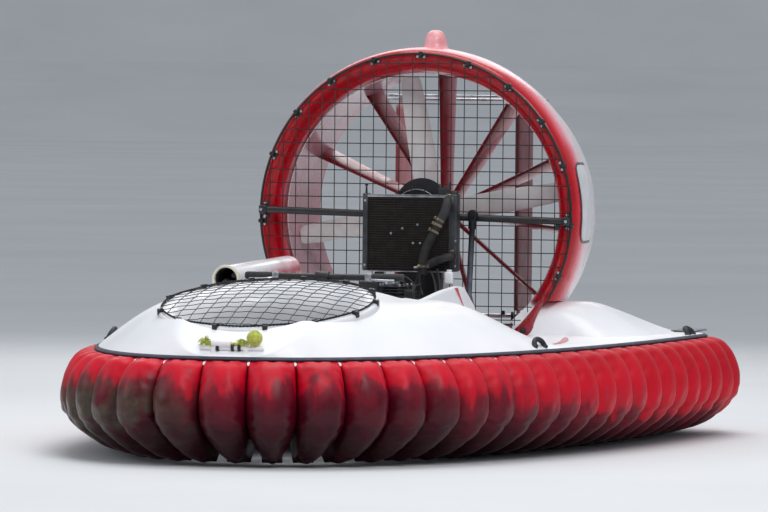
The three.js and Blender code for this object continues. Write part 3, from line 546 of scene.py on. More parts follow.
def addCamera():
    az, el, ro = (math.radians(view[key]) for key in ("azimuth", "elevation", "roll"))
    back = Vector((math.cos(el) * math.sin(az), -math.cos(el) * math.cos(az), math.sin(el)))
    right = Vector((math.cos(az), math.sin(az), 0))
    up = Vector((-math.sin(el) * math.sin(az), math.sin(el) * math.cos(az), math.cos(el)))
    side = right * math.cos(ro) + up * math.sin(ro)
    top = -right * math.sin(ro) + up * math.cos(ro)
    bpy.ops.object.camera_add()
    camera = bpy.context.object
    turn = Matrix((side, top, back)).transposed().to_4x4()
    camera.matrix_world = Matrix.Translation(Vector(view["target"]) + back * view["distance"]) @ turn
    camera.data.sensor_width = 36
    camera.data.sensor_fit = "HORIZONTAL"
    camera.data.lens = view["lens"]
    camera.data.clip_end = 300
    bpy.context.scene.camera = camera


def addStage():
    profile = [(0.02, -0.0005), (30, -0.0005), (90, -0.0005), (100, 1.2), (108, 4.5), (114, 10), (118, 18),
               (119, 40)]
    floor = spinRound("floor", profile, 64)
    paint = Finish("floorPaint")
    paint.colour(paint.ramp(paint.grain(0.4, 3.0), [(0.3, (214, 216, 218)), (0.7, (222, 224, 226))]))
    paint.rough(2.0, 0.75, 0.85)
    floor.data.materials.append(paint.material)
    world = bpy.data.worlds.new("studio")
    bpy.context.scene.world = world
    world.use_nodes = True
    sky = world.node_tree.nodes["Background"].inputs
    sky["Color"].default_value = (0.82, 0.86, 0.92, 1)
    sky["Strength"].default_value = 0.58
    # name, place, aimed at, power, size
    lamps = [
        ("keyLamp", (3.5, -6.0, 6.5), (0, 0, 0.5), 270, 3.6),
        ("fillLamp", (-7.0, -4.0, 4.0), (0, 0, 0.5), 90, 5.0),
        ("topLamp", (0.0, 1.0, 7.0), (0, 0.3, 0.5), 210, 4.5),
        ("backLamp", (-2.0, 7.0, 5.0), (0, 0, 0.6), 130, 5.0),
    ]
    for name, spot, aim, power, size in lamps:
        bpy.ops.object.light_add(type="AREA", location=spot)
        lamp = bpy.context.object
        lamp.name = name
        lamp.data.energy = power
        lamp.data.size = size
        lamp.rotation_euler = (Vector(aim) - Vector(spot)).to_track_quat("-Z", "Y").to_euler()
    bpy.context.scene.view_settings.view_transform = "Standard"


addCamera()
addStage()
print("camera, floor and lights")

# plan outline of the hull, shared by deck, strip and skirt
hull = {"length": 3.147, "halfWidth": 0.939, "fullness": 2.37, "shift": -0.0022, "corner": 0.35,
        "fingers": 58, "wellHalf": 0.326, "wellFront": -0.62,
        "wellBack": 1.3, "troughBack": 1.43}
stern = hull["length"] / 2 + hull["shift"]


def halfPlan():
    points = []
    for i in range(1201):
        t = i / 1200 * math.pi / 2
        x = hull["halfWidth"] * math.sin(t) ** (2 / hull["fullness"])
        y = stern - hull["length"] * math.cos(t) ** (2 / hull["fullness"])
        if y < stern - hull["corner"]:
            points.append((x, y))
    inset = hull["halfWidth"] - hull["corner"]
    for i in range(81):
        t = i / 80 * math.pi / 2
        points.append((inset + hull["corner"] * math.cos(t), stern - hull["corner"] * (1 - math.sin(t))))
    for i in range(1, 41):
        points.append((inset * (1 - i / 40), stern))
    return points


plan = halfPlan()
planLengths = [0.0]
for (xa, ya), (xb, yb) in zip(plan, plan[1:]):
    planLengths.append(planLengths[-1] + math.hypot(xb - xa, yb - ya))
planHalf = planLengths[-1]
fingerPitch = 2 * planHalf / hull["fingers"]


def planPoint(distance):
    # a point on the gunwale, counted from the bow centre towards port
    s = distance % (2 * planHalf)
    side = 1
    if s > planHalf:
        s, side = 2 * planHalf - s, -1
    low, high = 0, len(plan) - 1
    while high - low > 1:
        middle = (low + high) // 2
        if planLengths[middle] > s:
            high = middle
        else:
            low = middle
    f = (s - planLengths[low]) / (planLengths[high] - planLengths[low])
    return (side * (plan[low][0] + f * (plan[high][0] - plan[low][0])),
            plan[low][1] + f * (plan[high][1] - plan[low][1]))


def planNormal(distance):
    reach = 0.02
    (xa, ya), (xb, yb) = planPoint(distance - reach), planPoint(distance + reach)
    size = math.hypot(xb - xa, yb - ya)
    return (yb - ya) / size, -(xb - xa) / size


def offsetPlan(distance, out, z):
    x, y = planPoint(distance)
    nx, ny = planNormal(distance)
    return Vector((x + out * nx, y + out * ny, z))


def planWidth(y):
    if y > stern - hull["corner"]:
        reach = min(hull["corner"], y - (stern - hull["corner"]))
        return hull["halfWidth"] - hull["corner"] + math.sqrt(hull["corner"] ** 2 - reach ** 2)
    share = min(1, max(0, (stern - y) / hull["length"]))
    return hull["halfWidth"] * (1 - share ** hull["fullness"]) ** (1 / hull["fullness"])


def easing(t):
    u = min(1, max(0, t))
    return u * u * (3 - 2 * u)


# the deck's rise over the gunwale, in metres
deckRise = {"margin": 0.363, "shoulder": 0.166, "shoulderReach": 0.33, "bowSlope": 1.05, "crown": 0.050,
            "crownHalf": 0.34, "crownStart": -1.4, "crownLength": 0.55, "fallStart": -0.53, "fallSweep": 0.125,
            "fallLength": 0.548, "aft": 0.003, "aftReach": 0.42}


def deckHeight(x, y, half):
    rise = deckRise
    inboard = min(half - abs(x), (y + hull["length"] / 2) * rise["bowSlope"])
    shoulder = math.sin(max(0, min(1, inboard / rise["shoulderReach"])) * math.pi / 2)
    crown = (rise["crown"] * max(0, 1 - (x / rise["crownHalf"]) ** 2)
             * easing((y - rise["crownStart"]) / rise["crownLength"]))
    ahead = 1 - easing((y - rise["fallStart"] + rise["fallSweep"] * abs(x)) / rise["fallLength"])
    aft = rise["aft"] * easing(inboard / rise["aftReach"])
    return rise["margin"] + ahead * (rise["shoulder"] * shoulder + crown) + (1 - ahead) * aft


# lift intake and thrust duct
intake = {"centre": Vector((0, -1.108, 0.517)), "tilt": 11.2, "radius": 0.357, "fanDepth": -0.15, "blades": 8}
liftPlace = Matrix.Translation(intake["centre"]) @ Matrix.Rotation(math.radians(intake["tilt"]), 4, "X")
duct = {"front": 0.743, "length": 0.52, "axis": 0.79, "throat": 0.507, "cut": 0.4874,
        "statorY": 1.166, "stators": 11, "fanY": 0.958, "blades": 4, "bladeTurn": 100}
ductBack = duct["front"] + duct["length"]


def turned(name, profile, steps, closed=False):
    # a turned form round the thrust fan's axis
    return spinRound(name, profile, steps, closed, "Y", (0, 0, duct["axis"]))


def buildDeck():
    deck = {"rings": 130, "edge": 0.3524, "inset": 0.0006, "back": 0.0005, "step": 0.002, "top": 0.9}
    steps = [1, 0.985, 0.96, 0.93, 0.9, 0.865, 0.83, 0.79, 0.745, 0.7, 0.65, 0.6, 0.54, 0.48, 0.42, 0.36,
             0.3, 0.24, 0.18, 0.12, 0.06]
    across = steps + [0] + [-u for u in reversed(steps)]
    rings = []
    for i in range(1, deck["rings"] + 1):
        t = (i - 0.6) / deck["rings"] * math.pi / 2
        y = stern - hull["length"] * math.cos(t) ** (2 / hull["fullness"])
        y = min(y, stern - deck["back"] - deck["step"] * (deck["rings"] - i))
        half = planWidth(y) - deck["inset"]
        ring = [Vector((u * half, y, deckHeight(u * half, y, half))) for u in across]
        rings.append([Vector((half, y, deck["edge"]))] + ring + [Vector((-half, y, deck["edge"]))])
    shell = loft("deckShell", rings)
    half = hull["wellHalf"]
    well = block("wellCutter", (-half, hull["wellFront"], 0.1), (half, hull["wellBack"], deck["top"]), 0)
    trough = block("troughCutter", (-half, 1.25, 0.272), (half, hull["troughBack"], deck["top"]), 0)
    envelope = turned("ductCutter", [(0, 0.683), (0.5984, 0.683), (0.5984, 0.933), (0.532, 1.264),
                                     (0.532, 1.333), (0, 1.333)], 128)
    bore = spinRound("intakeCutter", [(0, -0.4), (0.3724, -0.4), (0.3724, 0.3), (0, 0.3)], 96)
    bore.data.transform(liftPlace)
    cutWith(shell, well, trough, envelope, bore)
    return place(shell, white, "hull", "white_gelcoat", "deck_bow", "deck_port", "deck_starboard", angle=30)


def buildStrip():
    section = [(0.0005, 0.3502), (0.0085, 0.3505), (0.0130, 0.3524), (0.0142, 0.3556), (0.0124, 0.3586),
               (0.0080, 0.3602), (0.0033, 0.3628), (0.0005, 0.3640)]
    count = 400
    rings = [[offsetPlan(2 * planHalf * i / count, out, z) for out, z in section] for i in range(count)]
    band = loft("rubbingStrip", rings, loop=True)
    return place(band, strip, "hull", "trim_rubber", "gunwale_trim", angle=50)


# skirt fingers. Columns: outboard of the gunwale, height, share of the groove
skirt = {"groove": 0.060, "tipWidth": 0.66, "columns": 24, "rows": 60, "variants": 4, "pressure": 6.0,
         "growth": -0.075, "cap": 0.017, "frames": 30,
         "outer": [(-0.0012, 0.3498, 0.0), (0.027, 0.3455, 0.30), (0.060, 0.330, 0.62), (0.087, 0.302, 0.86),
                   (0.105, 0.268, 1), (0.115, 0.233, 1), (0.118, 0.198, 1), (0.113, 0.162, 1), (0.094, 0.125, 1),
                   (0.056, 0.091, 0.95), (0.006, 0.060, 0.8), (-0.052, 0.032, 0.5), (-0.105, 0.011, 0.2),
                   (-0.120, 0.0085, 0.1)],
         "inner": [(-0.137, 0.010), (-0.165, 0.054), (-0.2, 0.112), (-0.235, 0.172), (-0.16, 0.228), (-0.08, 0.287)],
         "innerWidths": (0.66, 0.75, 0.88, 0.96, 1, 1), "reach": 0.132, "lowest": 0.0075}
# piece, CAD node, first finger, fingers
skirtRuns = [("skirtBow", "skirt_bow", 56, 5), ("skirtBowPort", "skirt_bow_port", 3, 7),
             ("skirtSidePort", "skirt_side_port", 10, 9), ("skirtQuarterPort", "skirt_quarter_port", 19, 6),
             ("skirtStern", "skirt_stern", 25, 9), ("skirtQuarterStarboard", "skirt_quarter_starboard", 34, 6),
             ("skirtSideStarboard", "skirt_side_starboard", 40, 9),
             ("skirtBowStarboard", "skirt_bow_starboard", 49, 7)]


def skirtProfile():
    fine = curvePoints(skirt["outer"], 12)
    lengths = [0.0]
    for a, b in zip(fine, fine[1:]):
        lengths.append(lengths[-1] + math.hypot(b.x - a.x, b.y - a.y))
    rows, k = [], 0
    for r in range(skirt["rows"] + 1):
        goal = lengths[-1] * r / skirt["rows"]
        while k < len(fine) - 2 and lengths[k + 1] < goal:
            k += 1
        f = min(1, (goal - lengths[k]) / (lengths[k + 1] - lengths[k]))
        rows.append(fine[k].lerp(fine[k + 1], f))
    return rows


skirtRows = skirtProfile()


def grooveShare(f):
    return 1 - math.sqrt(max(0, 1 - 0.985 * abs(2 * f - 1) ** 2.2))


def seamShare(f):
    # a finger's own share of its pitch, clear of its neighbours
    return 0.994 * f + 0.003


def blowUp(piece, pinned, frames, stiffness, **values):
    # cloth blown up from inside with the pinned points held; returns where the points were
    group = piece.vertex_groups.new(name="pins")
    group.add(pinned, 1.0, "REPLACE")
    pickOnly(piece)
    cloth = piece.modifiers.new("cloth", "CLOTH")
    settings = cloth.settings
    settings.vertex_group_mass = "pins"
    settings.use_pressure = True
    settings.effector_weights.gravity = 0
    settings.tension_stiffness = settings.compression_stiffness = stiffness
    for key, value in values.items():
        setattr(settings, key, value)
    cloth.point_cache.frame_start, cloth.point_cache.frame_end = 1, frames
    before = [v.co.copy() for v in piece.data.vertices]
    for step in range(1, frames + 1):
        bpy.context.scene.frame_set(step)
    bpy.ops.object.modifier_apply(modifier=cloth.name)
    bpy.context.scene.frame_set(1)
    return before


def capped(move, most):
    return move.normalized() * most if move.length > most else move


def inflateFingers():
    # fingers side by side on a straight edge, blown up as cloth between their seams
    columns, rows, count = skirt["columns"], skirt["rows"], skirt["variants"]
    size = rows + 1
    points = []
    for c in range(count * columns + 1):
        f = (c % columns) / columns
        for row in skirtRows:
            points.append((c / columns * fingerPitch, -(row.x - row.z * grooveShare(f) * skirt["groove"]), row.y))
    sheet = fromPoints("fingerCloth", points, gridFaces(count * columns + 1, size))
    held = [i for i in range(len(points)) if (i // size) % columns == 0 or i % size in (0, rows)]
    before = blowUp(sheet, held, skirt["frames"], 25, mass=0.2, quality=6, shear_stiffness=8,
                    bending_stiffness=0.25, shrink_min=skirt["growth"], uniform_pressure_force=skirt["pressure"])
    moves = [capped(vertex.co - old, skirt["cap"]) for vertex, old in zip(sheet.data.vertices, before)]
    bpy.data.objects.remove(sheet)
    # ease out single sharp nicks
    for _ in range(2):
        eased = list(moves)
        for c in range(1, count * columns):
            for k in range(c * size + 1, c * size + rows):
                if c % columns:
                    around = moves[k - 1] + moves[k + 1] + moves[k - size] + moves[k + size]
                    eased[k] = 0.4 * moves[k] + 0.15 * around
        moves = eased
    return moves


fingerMoves = inflateFingers()


def fingerPoint(finger, c, r):
    columns, size = skirt["columns"], skirt["rows"] + 1
    f = c / columns
    row, v = skirtRows[r], r / skirt["rows"]
    move = Vector((0, 0, 0))
    if fingerMoves and 0 < c < columns:
        # neighbours take different blown-up fingers, some of them mirrored
        pick = (finger * 7 + 3) % skirt["variants"]
        flipped = (finger * 5 // 3) % 2 == 1
        move = fingerMoves[(pick * columns + (columns - c if flipped else c)) * size + r].copy()
        if flipped:
            move.x = -move.x
    seed = finger * 3.71
    edge = abs(2 * f - 1)
    middle, swell = 1 - edge ** 2, math.sin(math.pi * v)
    sag = noise.noise(Vector((seed, v * 2.1, 1.3))) * swell * middle
    fold = noise.noise(Vector((f * 2.4 + seed, v * 5.0, seed * 0.7))) * swell * (0.3 + middle)
    out = row.x - row.z * grooveShare(f) * skirt["groove"] - move.y + 0.007 * sag + 0.005 * fold
    # towards the tip the finger narrows to a tongue, so that neighbours part
    narrow = 1 - (1 - skirt["tipWidth"]) * easing((v - 0.42) / 0.5)
    along = finger - 0.5 + (0.5 + (seamShare(f) - 0.5) * narrow)
    z = row.y + move.z + 0.022 * edge ** 2.4 * easing((v - 0.72) / 0.28)
    return offsetPlan(along * fingerPitch + move.x * narrow, min(out, skirt["reach"]), max(z, skirt["lowest"]))


def buildSkirtRun(name, node, first, count):
    columns, outer = skirt["columns"], skirt["rows"] + 1
    size = outer + len(skirt["inner"])
    points, faces, marks = [], [], []
    for finger in range(first, first + count):
        base = len(points)
        for c in range(columns + 1):
            f = c / columns
            points += [fingerPoint(finger % hull["fingers"], c, r) for r in range(outer)]
            marks += [(finger + f, r / skirt["rows"]) for r in range(outer)]
            for (out, z), width in zip(skirt["inner"], skirt["innerWidths"]):
                points.append(offsetPlan((finger + (seamShare(f) - 0.5) * width) * fingerPitch, out, z))
                marks.append((finger + f, 1))
        for c in range(columns):
            for r in range(size):
                n = (r + 1) % size
                a = base + c * size
                b = a + size
                faces.append((a + r, a + n, b + n, b + r))
        faces.append(tuple(base + r for r in range(size))[::-1])
        faces.append(tuple(base + columns * size + r for r in range(size)))
    run = fromPoints(name, points, faces)
    layer = run.data.uv_layers.new(name="cloth")
    for corner in run.data.loops:
        layer.data[corner.index].uv = marks[corner.vertex_index]
    return place(faceOut(run, 1e-7), skirtCloth, "hull", "red_fabric", node, angle=70)


def buildTabs():
    # a short webbing loop at the head of each seam: along, out, height
    shape = [(-0.004, 0.0005, 0.3500), (0.004, 0.0005, 0.3500), (0.004, 0.018, 0.3440), (-0.004, 0.018, 0.3440),
             (0.003, 0.024, 0.336), (-0.003, 0.024, 0.336)]
    tabs = []
    for finger in range(hull["fingers"]):
        s = (finger + 0.5) * fingerPitch
        tab = fromPoints("tab", [offsetPlan(s + a, out, z) for a, out, z in shape], [(0, 1, 2, 3), (3, 2, 4, 5)])
        tabs.append(applyModifier(tab, "SOLIDIFY", thickness=0.0016, offset=0))
    place(faceOut(joinAll("skirtTabs", tabs)), plainWhite, "hull", "white_gelcoat", angle=40)


buildDeck()
buildStrip()
for run in skirtRuns:
    buildSkirtRun(*run)
buildTabs()
print("deck, strip and skirt")


def buildDuct():
    outline = [(0, 0.52), (0, 0.30), (0, 0.095), (0.002, 0.077), (0.0052, 0.060), (0.010, 0.043), (0.017, 0.028),
               (0.0265, 0.0155), (0.038, 0.007), (0.048, 0.0018), (0.058, 0), (0.067, 0.0012), (0.0735, 0.0045),
               (0.079, 0.0115), (0.083, 0.022), (0.087, 0.043), (0.090, 0.070), (0.0912, 0.1), (0.091, 0.13),
               (0.0892, 0.165), (0.085, 0.2), (0.0765, 0.25), (0.065, 0.30), (0.0535, 0.35), (0.042, 0.40),
               (0.032, 0.46), (0.024, 0.517), (0.0215, 0.52)]
    ring = turned("thrustDuct", [(duct["throat"] + r, duct["front"] + y) for r, y in outline], 160, True)
    below = block("below", (-0.9, 0.5, -0.2), (0.9, 1.5, duct["cut"]), 0)
    cutWith(ring, below)
    barrel = turned("barrel", [(0.507, ductBack), (0.507, 0.838), (0.514, 0.838), (0.514, ductBack)], 160, True)
    above = block("above", (-0.9, 0.5, duct["cut"] - 0.0002), (0.9, 1.5, 1.8), 0)
    cutWith(barrel, above)
    whole = joinAll("thrustDuct", [ring, barrel])
    return place(whole, ductRed, "hull", "red_gelcoat", "thrust_duct", angle=32)


def buildThroatRing():
    # the bright joint line where the bell mouth meets the barrel
    joint = {"reach": 0.5062, "y": 0.839, "wire": 0.0016}
    places = [onRing(joint["reach"], a, 0, duct["axis"]) for a in turns(128)]
    ring = pipe("throatJoint", [(x, joint["y"], z) for x, z in places], joint["wire"], 6, closed=True)
    return place(ring, plainWhite, "hull", "white_gelcoat")


def bladeLoft(name, stations, turn):
    # stations: distance out, chord, pitch in degrees, thickness
    rings = []
    for reach, chord, pitch, thickness in stations:
        a = math.radians(pitch)
        ring = []
        for t in turns(20):
            u = -0.5 * chord * math.cos(t)
            fullness = 0.5 * thickness * math.sin(t) * (1 - 0.55 * (u / chord + 0.5))
            v = fullness + 0.05 * chord * (1 - (2 * u / chord) ** 2)
            ring.append(turn @ Vector((reach, u * math.cos(a) - v * math.sin(a), u * math.sin(a) + v * math.cos(a))))
        rings.append(ring)
    return loft(name, rings)


def buildStators():
    # stations: distance out, half chord, stagger in degrees
    stations = [(0.052, 0.056, 8), (0.16, 0.058, 9), (0.28, 0.061, 11), (0.40, 0.064, 12.5), (0.5065, 0.068, 14)]
    thickness = 0.011
    pieces = [turned("hub", [(0, 1.1), (0.05, 1.1), (0.058, 1.103), (0.062, 1.11), (0.062, 1.206), (0.058, 1.222),
                             (0.048, 1.245), (0.032, 1.268), (0.014, 1.281), (0, 1.284)], 48)]
    for angle in turns(duct["stators"]):
        turn = Matrix.Translation((0, duct["statorY"], duct["axis"])) @ Matrix.Rotation(angle, 4, "Y")
        rings = []
        for reach, half, stagger in stations:
            s = math.radians(stagger)
            ring = []
            for t in turns(22):
                u = -half * math.cos(t)
                v = thickness * math.sin(t) * (1 - 0.6 * (u / (2 * half) + 0.5))
                across, along = u * math.sin(s) + v * math.cos(s), u * math.cos(s) - v * math.sin(s)
                ring.append(turn @ Vector((across, along, reach)))
            rings.append(ring)
        pieces.append(loft("vane", rings))
    return assemble("statorVanes", pieces, vaneRedPaintedLight, "red_gelcoat", "stator_vanes", angle=40)


def boltCircle(count, reach, low, high, size, bevel=0.0):
    # hexagon heads round the duct's axis, from y low to y high
    bolts = []
    for a in turns(count):
        x, z = onRing(reach, a, 0, duct["axis"])
        bolts.append(bar("bolt", (x, low, z), (x, high, z), size, sides=6, bevel=bevel))
    return bolts


def buildThrustFan():
    stations = [(0.07, 0.098, 42, 0.018), (0.14, 0.100, 38, 0.016), (0.24, 0.096, 32, 0.013),
                (0.34, 0.089, 27, 0.011), (0.43, 0.080, 23, 0.009), (0.485, 0.070, 20, 0.007),
                (0.498, 0.054, 20, 0.005)]
    base = Matrix.Translation((0, duct["fanY"], duct["axis"])) @ Matrix.Rotation(math.pi / 2, 4, "X")
    blades = [bladeLoft("blade", stations, base @ Matrix.Rotation(a, 4, "Z"))
              for a in turns(duct["blades"], math.radians(duct["bladeTurn"]))]
    assemble("thrustFanBlades", blades, fanNylon, "black_paint", body="thrust_fan")
    hub = turned("thrustFanHub", [(0, 0.745), (0.014, 0.745), (0.016, 0.747), (0.016, 0.79), (0.088, 0.795),
                                  (0.092, 0.797), (0.092, 0.801), (0.087, 0.804), (0.087, 0.826), (0.092, 0.829),
                                  (0.092, 0.833), (0.088, 0.835), (0.02, 0.838), (0.02, 0.912), (0.074, 0.914),
                                  (0.079, 0.919), (0.079, 0.997), (0.074, 1.002), (0.02, 1.004), (0.016, 1.02),
                                  (0.016, 1.0996), (0, 1.0996)], 64)
    bolts = boltCircle(8, 0.05, 0.906, 0.914, 0.0065, 0.001)
    assemble("thrustFanHub", [hub] + bolts, darkSteel, "black_paint", "thrust_fan", body="thrust_fan", angle=30)


guard = {"y": 0.729, "reach": 0.575, "footReach": 0.541, "foot": 0.4, "pitch": 0.048, "firstX": 0.035,
         "firstZ": 0.418, "wire": 0.0017, "hoop": 0.0042,
         "clips": [-22, -3, 18.5, 36, 53.5, 70.5, 88.5, 106, 124, 141, 158.5, 183, 203]}


def buildGuard():
    middle, front, reach, pitch = duct["axis"], guard["y"], guard["reach"], guard["pitch"]

    def lowest(x):
        if abs(x) >= 0.4887:
            return middle - math.sqrt(max(0, reach ** 2 - x * x))
        if abs(x) > 0.448:
            return duct["cut"]
        return max(guard["foot"], middle - math.sqrt(max(0, guard["footReach"] ** 2 - x * x)))

    wires = []
    for i in range(-12, 12):
        x, y = guard["firstX"] + i * pitch, front - 0.0018
        wires.append(((x, y, lowest(x)), (x, y, middle + math.sqrt(reach ** 2 - x * x))))
    z = guard["firstZ"]
    while z < middle + reach - 0.01:
        limit = reach if z > duct["cut"] else guard["footReach"]
        x, y = math.sqrt(limit ** 2 - (z - middle) ** 2), front + 0.0018
        wires.append(((-x, y, z), (x, y, z)))
        z += pitch
    pieces = [bar("wire", a, b, guard["wire"], sides=6) for a, b in wires]
    arc = [onRing(reach, math.radians(-31.5 + 243 * i / 120), 0, middle) for i in range(121)]
    pieces.append(pipe("hoop", [(x, front, z) for x, z in arc], guard["hoop"], 10))
    pieces.append(bar("footWire", (-0.365, front, 0.402), (0.365, front, 0.402), 0.004, sides=10))
    return assemble("fanGuard", pieces, wireBlack, "black_paint", "fan_guard", angle=40)


def buildClips():
    clips, bolts = [], []
    for degrees in guard["clips"]:
        turn = Matrix.Translation((0, 0, duct["axis"])) @ Matrix.Rotation(-math.radians(degrees), 4, "Y")
        parts = [block("band", (0.567, 0.7215, -0.007), (0.584, 0.7445, 0.007)),
                 block("strap", (0.558, 0.738, -0.018), (0.573, 0.7445, 0.018), 0.002)]
        heads = [bar("bolt", (0.564, 0.732, z), (0.564, 0.7385, z), 0.0052, sides=6, bevel=0.0008)
                 for z in (-0.0125, 0.0125)]
        for piece in parts + heads:
            piece.data.transform(turn)
        clips += parts
        bolts += heads
    assemble("guardClips", clips, black, "black_paint", angle=30)
    assemble("guardBolts", bolts, steel, "silver_metal", angle=30)


crossbar = {"y": 0.712, "ends": ((-0.56, 0.801), (0.56, 0.773)), "radius": 0.0125}


def buildCrossbar():
    y = crossbar["y"]
    pieces = [bar("tube", *((x, y, z) for x, z in crossbar["ends"]), crossbar["radius"], sides=28),
              turned("boss", [(0, 0.698), (0.028, 0.698), (0.034, 0.701), (0.036, 0.705), (0.036, 0.742),
                              (0.033, 0.745), (0, 0.745)], 40),
              turned("cap", [(0, 0.694), (0.012, 0.694), (0.014, 0.696), (0.014, 0.699), (0, 0.699)], 24),
              block("tab", (0.522, y - 0.004, 0.742), (0.538, y + 0.004, 0.768), 0.002)]
    bolts = boltCircle(6, 0.025, 0.694, 0.7, 0.0038)
    for x, z in crossbar["ends"]:
        pieces.append(block("clamp", (x - 0.014, y - 0.017, z - 0.015), (x + 0.014, y + 0.034, z + 0.015), 0.004, 3))
        pieces.append(block("ear", (x - 0.010, y + 0.026, z - 0.03), (x + 0.010, y + 0.032, z + 0.03), 0.002))
        for dz in (-0.022, 0.022):
            bolts.append(bar("bolt", (x, y + 0.018, z + dz), (x, y + 0.0265, z + dz), 0.0055, sides=6, bevel=0.0008))
        out = x + math.copysign(0.004, x)
        bolts.append(bar("bolt", (out, y - 0.022, z), (out, y - 0.016, z), 0.006, sides=6, bevel=0.001))
    assemble("shaftCrossbar", pieces, black, "black_paint", "crossbar")
    assemble("crossbarBolts", bolts, steel, "silver_metal", angle=30)


def buildStrut():
    y = crossbar["y"]
    parts = [bar("rod", (0.226, y - 0.030, 0.789), (0.200, y - 0.026, 0.190), 0.0105, sides=24),
             block("clevis", (0.212, y - 0.043, 0.764), (0.240, y - 0.0128, 0.798), 0.005, 3),
             block("foot", (0.176, y - 0.048, 0.1864), (0.224, y - 0.004, 0.194), 0.002),
             bar("collar", (0.2253, y - 0.03, 0.770), (0.2243, y - 0.03, 0.742), 0.0145, sides=24, bevel=0.002),
             bar("nut", (0.2020, y - 0.0263, 0.236), (0.2009, y - 0.0262, 0.212), 0.015, sides=6, bevel=0.001),
             bar("eye", (0.226, y - 0.043, 0.794), (0.226, y - 0.0135, 0.794), 0.0170, sides=28, bevel=0.003)]
    assemble("crossbarStrut", parts, strutPaint, "dark_plastic", "crossbar_strut", angle=30)


buildDuct()
buildThroatRing()
buildStators()
buildThrustFan()
buildGuard()
buildClips()
buildCrossbar()
buildStrut()
print("thrust duct, vanes, fan and guard")


def buildFeet():
    # the bell mouth's lip runs on below the cut as a foot that widens to a square end: degrees, outer radius
    table = [(-32.2, 0.562), (-34.5, 0.563), (-37, 0.567), (-39, 0.572), (-41, 0.580), (-42.5, 0.590),
             (-44, 0.595), (-46, 0.596), (-48.2, 0.5945)]
    lip = {"inner": 0.543, "y": 0.7672, "half": 0.0185, "square": 0.35, "boltAngle": -45.8, "boltReach": 0.570}
    feet, bolts = [], []
    for sign in (1, -1):
        rings = []
        for degrees, outer in table:
            a = math.radians(degrees)
            middle, half = (lip["inner"] + outer) / 2, (outer - lip["inner"]) / 2
            ring = []
            for t in turns(16, math.pi / 16):
                u, v = (math.copysign(abs(w) ** lip["square"], w) for w in (math.cos(t), math.sin(t)))
                x, z = onRing(middle + u * half, a, 0, duct["axis"])
                ring.append(Vector((sign * x, lip["y"] + v * lip["half"], z)))
            rings.append(ring)
        feet.append(bevelled(loft("foot", rings), 0.002, 2, 50))
        x, z = onRing(lip["boltReach"], math.radians(lip["boltAngle"]), 0, duct["axis"])
        x *= sign
        bolts.append(bar("washer", (x, 0.7488, z), (x, 0.7472, z), 0.0115, sides=24))
        bolts.append(bar("bolt", (x, 0.7475, z), (x, 0.7425, z), 0.0072, sides=6, bevel=0.001))
    assemble("ductFeet", feet, footRed, "red_gelcoat", "duct_foot_port", "duct_foot_starboard")
    assemble("footBolts", bolts, darkSteel, "silver_metal", angle=30)


def flatCurve(points, steps):
    return [(p.x, p.y) for p in curvePoints([(a, b, 0) for a, b in points], steps)]


def buildBeacon():
    profile = [(0, 0.56), (0.060, 0.56), (0.0628, 0.5835), (0.0622, 0.587), (0.056, 0.5885), (0.050, 0.5925),
               (0.0445, 0.599), (0.0412, 0.608), (0.0395, 0.618), (0.0375, 0.629), (0.0335, 0.641), (0.027, 0.6505),
               (0.018, 0.657), (0.009, 0.6595), (0, 0.66)]
    dome = spinRound("beaconDome", [(max(0, r), z + duct["axis"]) for r, z in flatCurve(profile, 3)],
                     48, centre=(0, 0.99, 0))
    skin = turned("skin", [(0, 0.5), (0.58, 0.5), (0.5975, 0.8), (0.5975, 0.873), (0.592, 0.943), (0.583, 0.995),
                           (0.571, 1.045), (0.55, 1.1), (0, 1.1)], 160)
    return place(cutWith(dome, skin), pink, "hull", "pink_gelcoat", "beacon_dome", angle=40)


def buildFairings():
    # y, height at the duct, outer edge, outer knee
    table = [(0.752, 0.400, 0.560, 0.480), (0.758, 0.430, 0.60, 0.49), (0.768, 0.455, 0.650, 0.505),
             (0.785, 0.470, 0.700, 0.525), (0.81, 0.481, 0.745, 0.545), (0.88, 0.485, 0.79, 0.576),
             (0.97, 0.4815, 0.808, 0.579), (1.06, 0.475, 0.816, 0.573), (1.16, 0.465, 0.820, 0.561),
             (1.263, 0.4535, 0.820, 0.546), (1.35, 0.441, 0.816, 0.533), (1.44, 0.426, 0.798, 0.516),
             (1.50, 0.410, 0.745, 0.50), (1.538, 0.394, 0.672, 0.476)]
    # share of the way from knee to edge, share of the height
    fall = [(0.12, 0.98), (0.4, 0.76), (0.72, 0.36)]
    inner, low, foot = 0.356, 0.350, 0.3605
    fairings = []
    for sign in (1, -1):
        rings = []
        for y, top, outer, knee in table:
            slope = top - foot
            edge = [(inner, low), (inner, top - 0.004), (inner + 0.003, top)]
            edge += flatCurve([(knee - 0.02, top)] + [(knee + out * (outer - knee), foot + up * slope)
                                                      for out, up in fall] + [(outer, 0.3612)], 4)
            rings.append([Vector((sign * x, y, z)) for x, z in edge + [(outer, low)]])
        fairings.append(loft("fairing", rings))
    whole = joinAll("ductFairings", fairings)
    envelope = turned("envelope", [(0, 0.6), (0.5144, 0.6), (0.5144, 1.2635), (0, 1.2635)], 160)
    cutWith(whole, envelope)
    place(whole, white, "hull", "white_gelcoat", "duct_fairing_port", "duct_fairing_starboard", angle=42)


